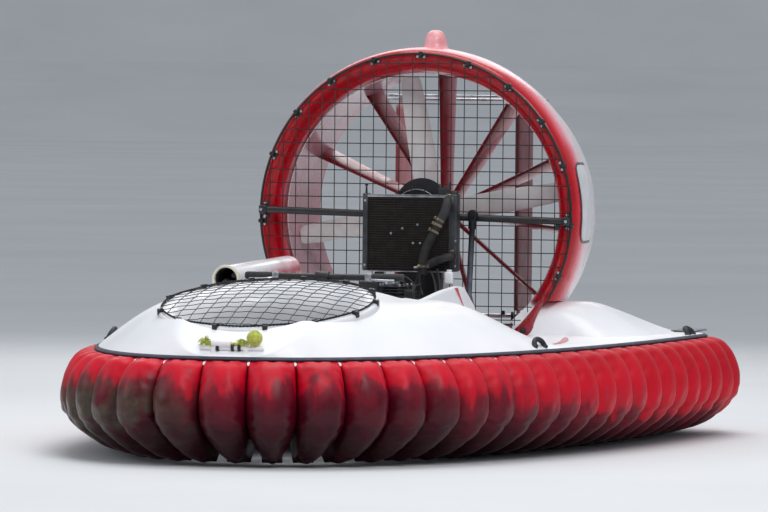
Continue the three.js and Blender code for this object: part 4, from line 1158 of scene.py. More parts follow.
def buildSideTube():
    start, end = Vector((-0.35, -0.447, 0.583)), Vector((-0.35, 0.320, 0.600))
    length = (end - start).length
    turn = Matrix.Translation(start) @ (end - start).to_track_quat("Z", "Y").to_matrix().to_4x4()

    def along(name, profile, steps, closed, finish, slot, *nodes, angle=35):
        piece = spinRound(name, profile, steps, closed)
        piece.data.transform(turn)
        place(piece, finish, "hull", slot, *nodes, angle=angle)

    along("sideTube", [(0, length), (0.043, length), (0.0465, length - 0.004), (0.047, length - 0.012),
                       (0.047, 0.016), (0.0465, 0.006), (0.0455, 0.002), (0.044, 0), (0.042, 0.0015),
                       (0.041, 0.006), (0.041, 0.53), (0, 0.535)],
          64, False, tubeWhiteRedReflection, "white_gelcoat", "side_tube", angle=40)
    along("tubeRim", [(0.0405, -0.001), (0.0405, 0.014), (0.0485, 0.014), (0.0495, 0.010), (0.0495, 0.002),
                      (0.048, -0.002), (0.043, -0.003)], 64, True, creamPlastic, "white_gelcoat")
    along("tubeLining", [(0.0403, 0.012), (0.0403, 0.50), (0.038, 0.51), (0, 0.512), (0, 0.509), (0.036, 0.506),
                         (0.0385, 0.5), (0.0385, 0.012)], 48, True, rubber, "black_rubber")
    parts = [bar("body", (-0.362, -0.40, 0.571), (-0.358, -0.20, 0.575), 0.014, bevel=0.002),
             bar("cap", (-0.362, -0.418, 0.571), (-0.362, -0.40, 0.571), 0.0105, bevel=0.002),
             bar("second", (-0.334, -0.40, 0.596), (-0.336, -0.22, 0.598), 0.010, sides=16, bevel=0.0015)]
    assemble("tubeParts", parts, darkSteel, "black_paint")


def buildCoamings():
    outline = [(-0.558, 0.40), (-0.555, 0.46), (-0.545, 0.505), (-0.515, 0.519), (-0.443, 0.527), (-0.36, 0.535),
               (-0.255, 0.545), (-0.18, 0.551), (-0.11, 0.555), (-0.031, 0.559), (0.03, 0.5575), (0.075, 0.553),
               (0.102, 0.541), (0.16, 0.513), (0.222, 0.480), (0.234, 0.44), (0.248, 0.36)]
    across, half = 0.35, 0.012
    fine = flatCurve(outline, 4) + [(-0.558, 0.36)]
    plates = [bevelled(loft("coaming", [[Vector((sign * across + side * half, y, z)) for y, z in fine]
                                        for side in (-1, 1)]), 0.0085, 4, 50) for sign in (1, -1)]
    cutWith(plates[1], bar("bore", (-across, -0.7, 0.5774), (-across, 0.40, 0.6018), 0.0474, sides=64))
    assemble("cockpitCoamings", plates, white, "white_gelcoat", "cockpit_coaming_port", "cockpit_coaming_starboard")


radiator = {"fins": 60, "finPitch": 0.005, "fin": 0.0011, "tubes": 31, "tubePitch": 0.0088, "tube": 0.0024,
            "bolts": [(-0.158, 0.61), (-0.158, 0.84), (0.176, 0.61), (0.176, 0.70), (0.02, 0.690), (0.046, 0.690),
                      (-0.02, 0.742), (0.036, 0.756), (-0.062, 0.724)],
            "spikes": [(0.113, 0.899), (0.128, 0.895), (0.144, 0.909)]}


def buildRadiator():
    fins = [block("core", (-0.149, 0.6405, 0.589), (0.151, 0.668, 0.859), 0)]
    for i in range(radiator["fins"]):
        x = -0.1475 + i * radiator["finPitch"]
        fins.append(block("fin", (x, 0.6375, 0.5895), (x + radiator["fin"], 0.671, 0.8585), 0))
    assemble("radiatorCore", fins, finBlack, "radiator_metal", "radiator", angle=0)
    tubes = []
    for i in range(radiator["tubes"]):
        z = 0.5915 + i * radiator["tubePitch"]
        tubes.append(block("tube", (-0.149, 0.6345, z), (0.151, 0.6735, z + radiator["tube"]), 0.0008))
    assemble("radiatorTubes", tubes, finBrown, "radiator_metal", angle=30)
    tanks = [block("tankStarboard", (-0.168, 0.630, 0.590), (-0.148, 0.678, 0.866), 0.005, 3),
             block("tankPort", (0.150, 0.630, 0.590), (0.182, 0.678, 0.866), 0.006, 3),
             bar("filler", (0.166, 0.655, 0.862), (0.166, 0.655, 0.878), 0.014, sides=28, bevel=0.002),
             bar("neck", (0.165, 0.634, 0.842), (0.150, 0.6285, 0.842), 0.0165, sides=28)]
    assemble("radiatorTanks", tanks, tankGrey, "radiator_metal")
    lip = [block("lipTop", (-0.150, 0.632, 0.858), (0.152, 0.676, 0.8625), 0.0012),
           block("lipFold", (-0.150, 0.632, 0.853), (0.152, 0.6345, 0.862), 0.0008),
           block("lipLow", (-0.150, 0.632, 0.5865), (0.152, 0.676, 0.590), 0.0012)]
    assemble("radiatorLip", lip, steel, "silver_metal")
    bolts = [bar("bolt", (x, 0.6365, z), (x, 0.6295, z), 0.0046, sides=6, bevel=0.0008)
             for x, z in radiator["bolts"]]
    assemble("radiatorBolts", bolts, steel, "silver_metal")
    ears = [block("ear", (0.108, 0.648, 0.862), (0.150, 0.660, 0.888), 0.002),
            block("flange", (0.138, 0.646, 0.862), (0.176, 0.664, 0.873), 0.002),
            bar("post", (-0.160, 0.654, 0.864), (-0.160, 0.654, 0.897), 0.0045, 0.0030, sides=12),
            bar("postCap", (-0.160, 0.654, 0.893), (-0.160, 0.654, 0.901), 0.0065, sides=12, bevel=0.001)]
    ears += [bar("spike", (x, 0.654, 0.880), (x + 0.003, 0.654, top), 0.0070, 0.0026, sides=8)
             for x, top in radiator["spikes"]]
    assemble("radiatorEars", ears, black, "black_paint")


# clampAt counts the fine points along the hose; past the cut the hose is blacker
hoses = {"upper": {"radius": 0.0168, "tail": 0.0160, "cut": 28, "clampAt": (1, 24, 27, 31, 50), "points": [
             (0.150, 0.6296, 0.842), (0.1515, 0.618, 0.843), (0.152, 0.606, 0.832), (0.1455, 0.598, 0.803),
             (0.130, 0.592, 0.773), (0.115, 0.584, 0.738), (0.099, 0.574, 0.703), (0.085, 0.560, 0.665),
             (0.079, 0.549, 0.625), (0.078, 0.545, 0.5806)]},
         "lower": {"radius": 0.0148, "tail": 0.0142, "cut": 25, "clampAt": (1, 50), "points": [
             (0.165, 0.6296, 0.645), (0.165, 0.616, 0.645), (0.150, 0.609, 0.641), (0.122, 0.606, 0.632),
             (0.092, 0.606, 0.617), (0.070, 0.607, 0.598), (0.053, 0.609, 0.568), (0.044, 0.608, 0.525),
             (0.040, 0.600, 0.488), (0.040, 0.5856, 0.460)]}}


def clampAround(point, along, radius):
    # a worm-drive clamp round a hose at a point
    band = spinRound("band", [(radius + 0.0004, -0.004), (radius + 0.0016, -0.004), (radius + 0.0016, 0.004),
                              (radius + 0.0004, 0.004)], 32, True)
    screw = block("screw", (-0.0075, radius, -0.006), (0.0075, radius + 0.008, 0.006), 0.002)
    whole = joinAll("hoseClamp", [band, screw])
    whole.data.transform(Matrix.Translation(point) @ Vector(along).to_track_quat("Z", "Y").to_matrix().to_4x4())
    return whole


def buildHoses():
    heads, tails, clamps = [], [], []
    for hose in hoses.values():
        points, cut = curvePoints(hose["points"]), hose["cut"]
        heads.append(pipe("hose", points[:cut + 1], hose["radius"], 20))
        tails.append(pipe("tail", points[cut:], hose["tail"], 20))
        for i in hose["clampAt"]:
            clamps.append(clampAround(points[i], points[i + 1] - points[i - 1], hose["radius"]))
    assemble("coolantHoses", heads, rubber, "black_rubber", "hose_upper", "hose_lower", angle=60)
    assemble("coolantHoseTails", tails, hoseBlack, "black_rubber", angle=60)
    assemble("hoseClamps", clamps, brassMetal, "silver_metal", angle=40)
    fitting = [bar("cone", (0.088, 0.5905, 0.616), (0.070, 0.5905, 0.608), 0.0125, 0.0095, bevel=0.001),
               bar("hex", (0.072, 0.5905, 0.609), (0.064, 0.5905, 0.6055), 0.0125, sides=6, bevel=0.001),
               bar("spigot", (0.066, 0.5905, 0.6065), (0.036, 0.5905, 0.603), 0.0052, sides=16)]
    assemble("hoseFitting", fitting, steel, "silver_metal")


# centre x and z, radius
beltCover = {"top": (0.012, 0.823, 0.097), "low": (0, 0.420, 0.070), "bead": (-0.006, 0.795, 0.084),
             "front": 0.7734, "back": 0.7788, "hole": 0.024, "edge": 0.0015}


def buildBeltCover():
    front, back = beltCover["front"], beltCover["back"]
    outline = []
    for (x, z, radius), start, steps in ((beltCover["top"], 0, 40), (beltCover["low"], math.pi, 24)):
        outline += [onRing(radius, start + math.pi * i / steps, x, z) for i in range(steps + 1)]
    plate = loft("beltCover", [[Vector((x, y, z)) for x, z in outline] for y in (front, back)])
    cutWith(plate, block("leg", (-0.03, front, 0.1866), (0.03, back, 0.43), 0), operation="UNION")
    cutWith(plate, bar("hole", (0, 0.6, duct["axis"]), (0, 0.9, duct["axis"]), beltCover["hole"], sides=32))
    place(bevelled(plate, beltCover["edge"]), black, "hull", "black_paint", "belt_cover")
    x, z, radius = beltCover["bead"]
    arc = [onRing(radius, math.radians(20 + 140 * i / 40), x, z) for i in range(41)]
    bead = pipe("coverBead", [(x, front - 0.0019, z) for x, z in arc], 0.0022, 8)
    place(bead, steel, "hull", "silver_metal", angle=60)


engine = {"cylinders": (0.406, 0.505), "low": 0.2326, "high": 0.385, "shaftY": 0.455, "shaftZ": 0.312,
          "fins": 11, "finPitch": 0.0116, "looms": [
              [(0.096, 0.598, 0.592), (0.112, 0.585, 0.560), (0.126, 0.560, 0.520), (0.132, 0.540, 0.480),
               (0.120, 0.536, 0.470)],
              [(0.118, 0.600, 0.600), (0.130, 0.590, 0.560), (0.136, 0.575, 0.520), (0.138, 0.562, 0.470),
               (0.134, 0.556, 0.440)],
              [(0.058, 0.596, 0.598), (0.060, 0.580, 0.560), (0.070, 0.560, 0.530), (0.080, 0.545, 0.508)]]}


def engineCastings(y, z):
    # crankcase with covers and ribs, then a finned barrel and head for each cylinder
    low, high = engine["low"], engine["high"]
    castings = [block("crankcase", (-0.095, 0.356, low), (0.095, 0.560, high), 0.012, 4),
                block("frontFlange", (-0.072, 0.3304, 0.262), (0.072, 0.360, 0.362), 0.008, 3),
                block("rearFlange", (-0.082, 0.556, 0.250), (0.082, 0.5848, 0.372), 0.008, 3),
                bar("ignitionCover", (-0.1396, y, z), (-0.09, y, z), 0.058, sides=40, bevel=0.006),
                bar("gearCover", (0.1396, y, z), (0.09, y, z), 0.062, sides=40, bevel=0.006)]
    for i in range(7):
        x = -0.081 + i * 0.027
        castings.append(block("rib", (x - 0.0022, 0.350, 0.245), (x + 0.0022, 0.360, 0.374), 0.0008))
    for i in range(5):
        up = 0.275 + i * 0.0185
        castings.append(block("rib", (-0.1385, 0.400, up), (-0.136, 0.510, up + 0.0025), 0.0006))
    for y in engine["cylinders"]:
        castings.append(bar("barrel", (0, y, 0.380), (0, y, 0.520), 0.036, sides=32))
        for i in range(engine["fins"]):
            up = 0.390 + i * engine["finPitch"]
            castings.append(block("fin", (-0.064, y - 0.0455, up), (0.064, y + 0.0455, up + 0.0038), 0.0015))
        for i in range(3):
            up, x, deep = 0.5185 + i * 0.0100, 0.060 - 0.004 * i, 0.0435 - 0.004 * i
            castings.append(block("headFin", (-x, y - deep, up), (x, y + deep, up + 0.0042), 0.0015))
        castings.append(bar("head", (0, y, 0.516), (0, y, 0.5485), 0.030, 0.022, sides=32, bevel=0.003))
    return castings


def bent(name, points, radius, sides):
    return pipe(name, curvePoints(points), radius, sides)


def buildEngine():
    castings = engineCastings(engine["shaftY"], engine["shaftZ"])
    assemble("engineCastings", castings, castMetal, "engine_metal", "engine_block", angle=32)
    bright, dark, leads, exhaust = [], [], [], []
    for y in engine["cylinders"]:
        bright.append(bar("plug", (0, y, 0.547), (0, y, 0.558), 0.0085, sides=6, bevel=0.001))
        for x, dy in ((0.043, 0.030), (-0.043, 0.030), (0.043, -0.030), (-0.043, -0.030)):
            bright.append(bar("stud", (x, y + dy, 0.542), (x, y + dy, 0.551), 0.005, sides=6, bevel=0.0006))
        bright += [bar("carb", (0.060, y, 0.452), (0.098, y, 0.456), 0.019, sides=28, bevel=0.002),
                   block("bowl", (0.068, y - 0.014, 0.424), (0.092, y + 0.014, 0.446), 0.003, 3),
                   bar("slide", (0.080, y, 0.465), (0.080, y, 0.496), 0.013, 0.011, sides=24, bevel=0.002)]
        dark += [bar("filter", (0.096, y, 0.456), (0.1392, y, 0.459), 0.032, 0.028, sides=36, bevel=0.004),
                 bar("cap", (0, y, 0.556), (0, y, 0.5798), 0.0105, 0.008, bevel=0.0015)]
        leads += [bent("lead", [(0, y, 0.573), (0.022, y - 0.012, 0.577), (0.050, y - 0.030, 0.566),
                                (0.074, y - 0.036, 0.540), (0.082, 0.372, 0.520)], 0.0034, 10),
                  bent("cable", [(0.080, y, 0.495), (0.082, y - 0.004, 0.525), (0.092, y - 0.030, 0.548),
                                 (0.098, 0.353, 0.535), (0.100, 0.352, 0.47), (0.100, 0.353, 0.41)], 0.0026, 8)]
        exhaust.append(bent("stub", [(-0.060, y, 0.446), (-0.088, y, 0.444), (-0.108, y, 0.428),
                                     (-0.1145, y, 0.398), (-0.1145, y, 0.390)], 0.0175, 20))
    for a in turns(6):
        y, z = onRing(0.050, a, engine["shaftY"], engine["shaftZ"])
        bright += [bar("bolt", (x * 0.985, y, z), (x, y, z), 0.0048, sides=6, bevel=0.0006)
                   for x in (-0.1398, 0.1398)]
    assemble("engineBright", bright, steel, "silver_metal", angle=32)
    dark += [block("coil", (0.064, 0.352, 0.500), (0.100, 0.380, 0.532), 0.004, 3),
             block("airBox", (-0.100, 0.352, 0.494), (-0.030, 0.372, 0.560), 0.005, 3)]
    leads += [bent("loom", points, 0.0042, 10) for points in engine["looms"]]
    assemble("engineLeads", dark + leads, rubber, "black_rubber", angle=45)
    exhaust.append(bar("log", (-0.1145, 0.372, 0.392), (-0.1145, 0.560, 0.392), 0.0235, sides=28, bevel=0.006))
    assemble("engineExhaust", exhaust, darkSteel, "engine_metal", angle=40)
    bottle = [block("bottle", (0.1485, 0.5835, 0.548), (0.1795, 0.6105, 0.591), 0.007, 4),
              bar("neck", (0.164, 0.597, 0.590), (0.164, 0.597, 0.5985), 0.0095, sides=24, bevel=0.0015)]
    assemble("overflowBottle", bottle, plainWhite, "white_gelcoat")
    arm = bar("arm", (0.164, 0.612, 0.572), (0.164, 0.640, 0.589), 0.0035, sides=10)
    assemble("bottleArm", [arm], black, "black_paint")


rudder = {"x": 0.226, "pivot": 1.338, "link": 1.405, "chordMiddle": 0.0725, "beamX": 0.318, "beam": 1.199,
          "rod": 1.212, "section": [
              (0, -0.045), (0.0035, -0.0445), (0.0065, -0.041), (0.0082, -0.033), (0.009, -0.02), (0.009, 0.0),
              (0.0088, 0.02), (0.0076, 0.065), (0.0058, 0.11), (0.0038, 0.152), (0.0020, 0.185), (0.0008, 0.19)],
          "stations": [(0.432, 0.72), (0.4335, 0.9), (0.437, 1), (0.60, 1), (0.80, 1), (1.0, 1), (1.166, 1),
                       (1.175, 0.985), (1.182, 0.95), (1.1858, 0.86)]}


def buildRudders():
    section, pivot, middle = rudder["section"], rudder["pivot"], rudder["chordMiddle"]
    outline = section + [(-x, y) for x, y in reversed(section[1:])]
    for side, x, finish in (("port", rudder["x"], rudderRed), ("starboard", -rudder["x"], rudderPink)):
        rings = []
        for z, share in rudder["stations"]:
            rings.append([Vector((x + a * share, pivot + middle + (b - middle) * (share * 0.4 + 0.6), z))
                          for a, b in outline])
        node = f"rudder_{side}"
        blade = place(loft("blade", rings), finish, node, "red_gelcoat", node, angle=40)
        blade.name = f"rudderBlade{side.title()}"
        pins = [bar("pin", (x, pivot, 1.182), (x, pivot, 1.1926), 0.007),
                bar("pin", (x, pivot, 0.4204), (x, pivot, 0.434), 0.007),
                bar("pin", (x, rudder["link"], 1.182), (x, rudder["link"], 1.2076), 0.004, sides=16),
                block("horn", (x - 0.007, 1.362, 1.1825), (x + 0.007, 1.418, 1.1875), 0.0015)]
        assemble(f"rudderPins{side.title()}", pins, steel, "silver_metal", body=node)


def buildRudderBeams():
    pivot, beam, low, link, up = rudder["pivot"], rudder["beam"], 0.412, rudder["link"], rudder["rod"]
    top = [bar("beam", (-0.326, pivot, beam), (0.326, pivot, beam), 0.0052, bevel=0.001)]
    bottom = [bar("beam", (-0.3554, pivot, low), (0.3554, pivot, low), 0.0078)]
    shoes, clevises = [], []
    for sign in (1, -1):
        x, arm, plate = sign * rudder["x"], sign * rudder["beamX"], sign * 0.351
        top += [block("arm", (arm - 0.012, 1.2636, 1.1934), (arm + 0.012, 1.351, 1.2046), 0.0025, 3),
                bar("boss", (x, pivot, 1.1934), (x, pivot, 1.2055), 0.0115, sides=24, bevel=0.0015),
                bar("nut", (x, pivot, 1.205), (x, pivot, 1.211), 0.007, sides=6, bevel=0.0008)]
        bottom += [block("bracket", (x - 0.016, 1.324, 0.4042), (x + 0.016, 1.352, 0.4198), 0.002),
                   block("plate", (plate - 0.004, 1.318, 0.396), (plate + 0.004, 1.358, 0.428), 0.0015)]
        knob = x - sign * 0.058
        shoes += [block("shoe", (x - 0.020, 1.320, 0.3975), (x + 0.020, 1.356, 0.4035), 0.0015),
                  block("cheek", (x - 0.024, 1.322, 0.3975), (x - 0.0185, 1.354, 0.4270), 0.0015),
                  block("cheek", (x + 0.0185, 1.322, 0.3975), (x + 0.024, 1.354, 0.4270), 0.0015),
                  bar("knob", (knob, pivot, 0.418), (knob, pivot, 0.431), 0.0085, 0.007, bevel=0.0015)]
        clevises += [block("clevis", (x - 0.014, 1.3985, 1.2080), (x + 0.014, 1.4115, 1.2185), 0.002),
                     bar("nut", (x, link, 1.2185), (x, link, 1.2235), 0.006, sides=6)]
    rod = [bar("rod", (-0.296, link, up), (0.238, link, up), 0.0038, sides=16),
           bar("end", (-0.292, link, up), (-0.255, link, up), 0.0062, sides=6, bevel=0.001)] + clevises
    assemble("rudderBeamTop", top, steel, "silver_metal", "rudder_beam_top")
    assemble("rudderBeamBottom", bottom, steel, "silver_metal", "rudder_beam_bottom")
    assemble("rudderShoes", shoes, black, "black_paint")
    assemble("rudderLink", rod, steel, "silver_metal", "rudder_link", body="rudder_link")


def buildLift():
    profile = [(0.372, -0.08), (0.372, -0.004), (0.3705, 0.002), (0.3665, 0.0065), (0.361, 0.008), (0.351, 0.008),
               (0.343, 0.0065), (0.334, 0.003), (0.325, -0.002), (0.314, -0.0095), (0.3035, -0.0175),
               (0.295, -0.0255), (0.287, -0.0355), (0.280, -0.047), (0.2745, -0.060), (0.2715, -0.074),
               (0.270, -0.092), (0.270, -0.29), (0.278, -0.29), (0.278, -0.08)]
    mouth = spinRound("liftIntake", profile, 128, True)
    mouth.data.transform(liftPlace)
    place(mouth, plainWhite, "hull", "white_gelcoat", "lift_intake")
    stations = [(0.054, 0.080, 40, 0.014), (0.10, 0.086, 37, 0.012), (0.16, 0.086, 33, 0.010),
                (0.22, 0.080, 29, 0.008), (0.255, 0.070, 26.5, 0.006), (0.2622, 0.056, 26, 0.0045)]
    base = liftPlace @ Matrix.Translation((0, 0, intake["fanDepth"]))
    hub = spinRound("hub", [(0, -0.028), (0.058, -0.028), (0.062, -0.024), (0.062, 0.02), (0.058, 0.026),
                            (0.05, 0.028), (0.03, 0.028), (0.028, 0.033), (0.012, 0.034), (0.012, 0.040),
                            (0, 0.040)], 48)
    hub.data.transform(base)
    blades = [bladeLoft("blade", stations, base @ Matrix.Rotation(a, 4, "Z"))
              for a in turns(intake["blades"], math.pi / intake["blades"])]
    assemble("liftFanRotor", [hub] + blades, plastic, "dark_plastic", "lift_fan", body="lift_fan", angle=40)
    parts = [spinRound("drum", [(0, -0.045), (0.064, -0.045), (0.07, -0.039), (0.07, 0.039), (0.064, 0.045),
                                (0, 0.045)], 40)]
    for a in turns(3, math.pi / 6):
        arm = block("arm", (0, -0.012, -0.012), (0.2684, 0.012, 0.012))
        arm.data.transform(Matrix.Rotation(a, 4, "Z"))
        parts.append(arm)
    mount = joinAll("liftFanMount", parts)
    mount.data.transform(liftPlace @ Matrix.Translation((0, 0, intake["fanDepth"] - 0.0734)))
    place(mount, black, "hull", "black_paint", "lift_fan_mount")


net = {"pitch": 0.05, "shift": 0.15, "rise": 0.0382, "lift": 0.0144, "cord": 0.0013, "rope": 0.0028,
       "strand": 0.0012, "wander": 0.0035, "wave": 0.0012, "coils": 90,
       "clips": [-156, -129, -102.5, -75.5, -48.5, -21, 6, 33, 60, 87, 115, 143, 172]}


def netHeight(x, y):
    return net["rise"] * (1 - (math.hypot(x, y) / intake["radius"]) ** 2)


def buildNet():
    base = liftPlace @ Matrix.Translation((0, 0, net["lift"]))
    cords, reach, wave = [], intake["radius"], net["wave"]
    for direction in (0, 1):
        for i in range(-7, 8):
            offset = (i + net["shift"]) * net["pitch"]
            if abs(offset) > reach - 0.01:
                continue
            half = math.sqrt(reach ** 2 - offset ** 2)
            points = []
            for k in range(31):
                t = -half + 2 * half * k / 30
                wander = net["wander"] * noise.noise(Vector((offset * 9, t * 9, 3.1 + direction)))
                x, y = (offset + wander, t) if direction == 0 else (t, offset + wander)
                points.append((x, y, netHeight(x, y) + wave * math.sin(k * 1.7 + i)))
            cords.append(pipe("cord", points, net["cord"], 6))
    rim = [(*onRing(reach, a), wave * math.sin(9 * a)) for a in turns(120)]
    cords.append(pipe("edgeRope", rim, net["rope"], 10, closed=True))
    for start in (0, math.pi):
        coil = []
        for a in turns(900):
            b = net["coils"] * a + start
            coil.append((*onRing(reach + net["rope"] * math.cos(b), a),
                         wave * math.sin(9 * a) + net["rope"] * math.sin(b)))
        cords.append(pipe("strand", coil, net["strand"], 6, closed=True))
    whole = joinAll("intakeNet", cords)
    whole.data.transform(base)
    place(whole, netBlack, "hull", "black_paint", "intake_net", angle=60)
    clips = []
    for degrees in net["clips"]:
        for piece in (block("clip", (0.3545, -0.0090, -0.006), (0.3640, 0.0090, 0.0070), 0.002),
                      block("tail", (0.3600, -0.0085, -0.0175), (0.3745, 0.0085, 0.0040), 0.002)):
            piece.data.transform(base @ Matrix.Rotation(math.radians(degrees), 4, "Z"))
            clips.append(piece)
    assemble("netClips", clips, black, "black_paint")


buildFeet()
buildBeacon()
buildFairings()
buildSideTube()
buildCoamings()
buildRadiator()
buildHoses()
buildBeltCover()
buildEngine()
buildRudders()
buildRudderBeams()
buildLift()
buildNet()
print("fairings, radiator, rudders and lift intake")


# x and y of the middle, slope of the gunwale there, lean inboard, height
handles = {"radius": 0.0092, "foot": 0.0355, "base": 0.366,
           "table": [(0.768, -0.447, 0.22, 0.45, 0.78), (0.912, 1.165, 0.02, 0.8, 0.5),
                     (-0.771, -0.447, -0.22, 1, 1), (-0.912, 1.165, -0.02, 1, 1)],
           "path": [(-0.0355, -0.008, 0), (-0.0352, 0.006, 0.003), (-0.034, 0.016, 0.007), (-0.029, 0.0265, 0.013),
                    (-0.020, 0.0345, 0.019), (-0.010, 0.0388, 0.022), (0, 0.040, 0.023)]}


def onDeck(x, y, lift=0.0):
    return deckHeight(x, y, planWidth(y)) + lift


def buildHandles():
    arches = []
    path = handles["path"] + [(-along, up, inward) for along, up, inward in reversed(handles["path"][:-1])]
    for x, y, slope, lean, tall in handles["table"]:
        side = math.copysign(1, x)
        points = [(x + u * slope - inward * side * lean, y + u, handles["base"] + (up * tall if up > 0 else up))
                  for u, up, inward in path]
        arches.append(pipe("arch", curvePoints(points, 4), handles["radius"], 18))
        for u in (-handles["foot"], handles["foot"]):
            a, b = x + u * slope, y + u
            low = onDeck(a, b, -0.003)
            arches.append(bar("pad", (a, b, low), (a - 0.002 * side, b, low + 0.009), 0.0125, 0.0105, sides=24,
                              bevel=0.0015))
    assemble("grabHandles", arches, plastic, "dark_plastic", "handle_bow_port", "handle_stern_port",
             "handle_bow_starboard", "handle_stern_starboard", angle=45)
    trims = [bar("tie", (-0.752, -0.400, 0.393), (-0.770, -0.270, 0.391), 0.0055, sides=16, bevel=0.001)]
    for t in (0.2, 0.8):
        x, y = -0.752 - 0.018 * t, -0.400 + 0.13 * t
        trims.append(bar("post", (x, y, onDeck(x, y, -0.002)), (x, y, 0.391), 0.004, sides=12))
    assemble("deckTie", trims, rudderRed, "red_gelcoat")
    plate = block("sternPlate", (0.792, 1.36, 0.3638), (0.884, 1.545, 0.3712), 0.002)
    place(plate, panelGrey, "hull", "silver_metal")


def patchOn(name, rows, thick, finish, slot):
    # a thin decal sheet through rows of surface points
    sheet = fromPoints(name, [p for row in rows for p in row], gridFaces(len(rows), len(rows[0])))
    applyModifier(faceOut(sheet, 1e-7), "SOLIDIFY", thickness=thick, offset=0)
    return place(faceOut(sheet, 1e-7), finish, "hull", slot, angle=40)


# y and radius of the duct's skin; heights on the panel are lengths round a drum of radius bend
panel = {"skin": [(0.74, 0.5975), (0.873, 0.5975), (0.943, 0.592), (0.995, 0.583), (1.045, 0.571)],
         "bend": 0.6, "steps": 24, "thick": 0.0008}
deckStripe = [(0.706, -0.04), (0.700, 0.07), (0.683, 0.20), (0.655, 0.34), (0.622, 0.48), (0.598, 0.575)]


def skinRadius(y):
    table = panel["skin"]
    for (a, ra), (b, rb) in zip(table, table[1:]):
        if y <= b:
            return ra + (rb - ra) * (y - a) / (b - a)
    return table[-1][1]


def skinPanel(name, low, high, front, back, corner, lift, finish):
    rows, steps = [], panel["steps"]
    for i in range(steps + 1):
        y = front + (back - front) * i / steps
        edge = min(y - front, back - y)
        cut = corner - math.sqrt(max(0, corner ** 2 - (corner - edge) ** 2)) if edge < corner else 0
        row = []
        for k in range(steps + 1):
            a = (low + cut) + (high - low - 2 * cut) * k / steps
            x, z = onRing(skinRadius(y) + lift, a / panel["bend"], 0, duct["axis"])
            row.append(Vector((x, y, z)))
        rows.append(row)
    patchOn(name, rows, panel["thick"], finish, "white_gelcoat")


def buildMarks():
    # blank number panel on the port flank of the duct skin
    skinPanel("numberBorder", -0.098, 0.196, 0.792, 1.022, 0.05, 0.0010, panelGrey)
    skinPanel("numberPanel", -0.088, 0.186, 0.802, 1.012, 0.042, 0.0019, panelWhite)
    # tapering stripe on the port side deck
    rows = []
    line = flatCurve(deckStripe, 8)
    for i, (across, along) in enumerate(line):
        t = i / (len(line) - 1)
        half = 0.0015 + 0.011 * math.sin(math.pi * min(1, t * 0.85 + 0.08)) ** 0.9
        places = [(across + k * half, along + k * half * 0.25) for k in (-1, -0.5, 0, 0.5, 1)]
        rows.append([Vector((x, y, onDeck(x, y, 0.0011))) for x, y in places])
    patchOn("deckStripe", rows, 0.0010, stripeRed, "red_gelcoat")
    # stripe on the port coaming
    rows = []
    for i in range(13):
        t = i / 12
        z, y, wide = 0.5545 - 0.075 * t, -0.045 + 0.115 * t, 0.020 * (1 - 0.9 * t)
        rows.append([Vector((0.3626, y + side * wide, z)) for side in (-1, 0, 1)])
    patchOn("coamingStripe", rows, 0.0010, stripeRed, "red_gelcoat")


# x, strands, reach of each tuft of rope
tow = {"y": 0.024 - hull["length"] / 2, "railZ": 0.391, "rail": 0.0068, "ball": 0.0268,
       "tufts": [(-0.084, 90, 0.030), (0.040, 70, 0.024), (0.070, 60, 0.030)]}


def buildTowFitting():
    y, up = tow["y"], tow["railZ"]
    rail = [bar("rod", (-0.104, y, up), (0.116, y, up), tow["rail"], bevel=0.001)]
    for x in (-0.056, 0.056):
        rail += [block("foot", (x - 0.0085, y - 0.0095, 0.362), (x + 0.0085, y + 0.0135, 0.3945), 0.003, 3),
                 block("pad", (x - 0.014, y - 0.006, 0.3615), (x + 0.014, y + 0.02, 0.3675), 0.0015)]
    assemble("towFitting", rail, plainWhite, "black_paint", "tow_fitting")
    collars = [bar("collar", (x - 0.005, y, up + 0.002), (x + 0.005, y, up + 0.002), 0.0125, bevel=0.0015)
               for x in (-0.041, 0.010, 0.033)]
    assemble("towCollars", collars, black, "black_paint")
    sleeve = bar("towSleeve", (-0.062, y, 0.4042), (0.004, y, 0.4042), 0.0125, sides=28, bevel=0.002)
    place(sleeve, plainWhite, "hull", "white_gelcoat")
    bpy.ops.mesh.primitive_uv_sphere_add(segments=40, ring_count=24, radius=tow["ball"], location=(0.084, y, 0.4251))
    ball = applyPlace(bpy.context.object)
    ball.name = "towBall"
    place(ball, felt, "hull", "yellow_felt", "tow_ball", angle=60)
    # rope: a plain core with frayed tufts
    source = random.Random(11)
    cords = [bar("core", (-0.084, y, 0.4044), (0.050, y, 0.4044), 0.0058, sides=12)]
    for x, strands, reach in tow["tufts"]:
        for _ in range(strands):
            a = source.uniform(0, 2 * math.pi)
            lift = source.uniform(-0.25, 1.0)
            size = source.uniform(0.55, 1.0) * reach
            flat = math.sqrt(max(0, 1 - lift * lift))
            step = Vector((math.cos(a) * flat * 0.9, math.sin(a) * flat * 0.55, lift * 0.9))
            start = Vector((x, y, 0.407)) + 0.004 * step
            middle = start + step * size * 0.55 + Vector((0, 0, 0.002))
            end = start + step * size + Vector((source.uniform(-0.004, 0.004), source.uniform(-0.004, 0.004), -0.006))
            end.z = max(end.z, 0.372)
            cords.append(pipe("fray", [start, middle, end], 0.0013, 4, radii=[1.2, 1, 0.5]))
    assemble("towRope", cords, felt, "yellow_felt", "tow_rope", angle=60)


steering = {"foot": Vector((0, -0.575, 0.330)), "along": Vector((0, 0.3975, 0.9176)).normalized(), "bar": 0.292,
            "half": 0.281, "sweep": 0.028, "grip": 0.165, "tube": 0.0115}


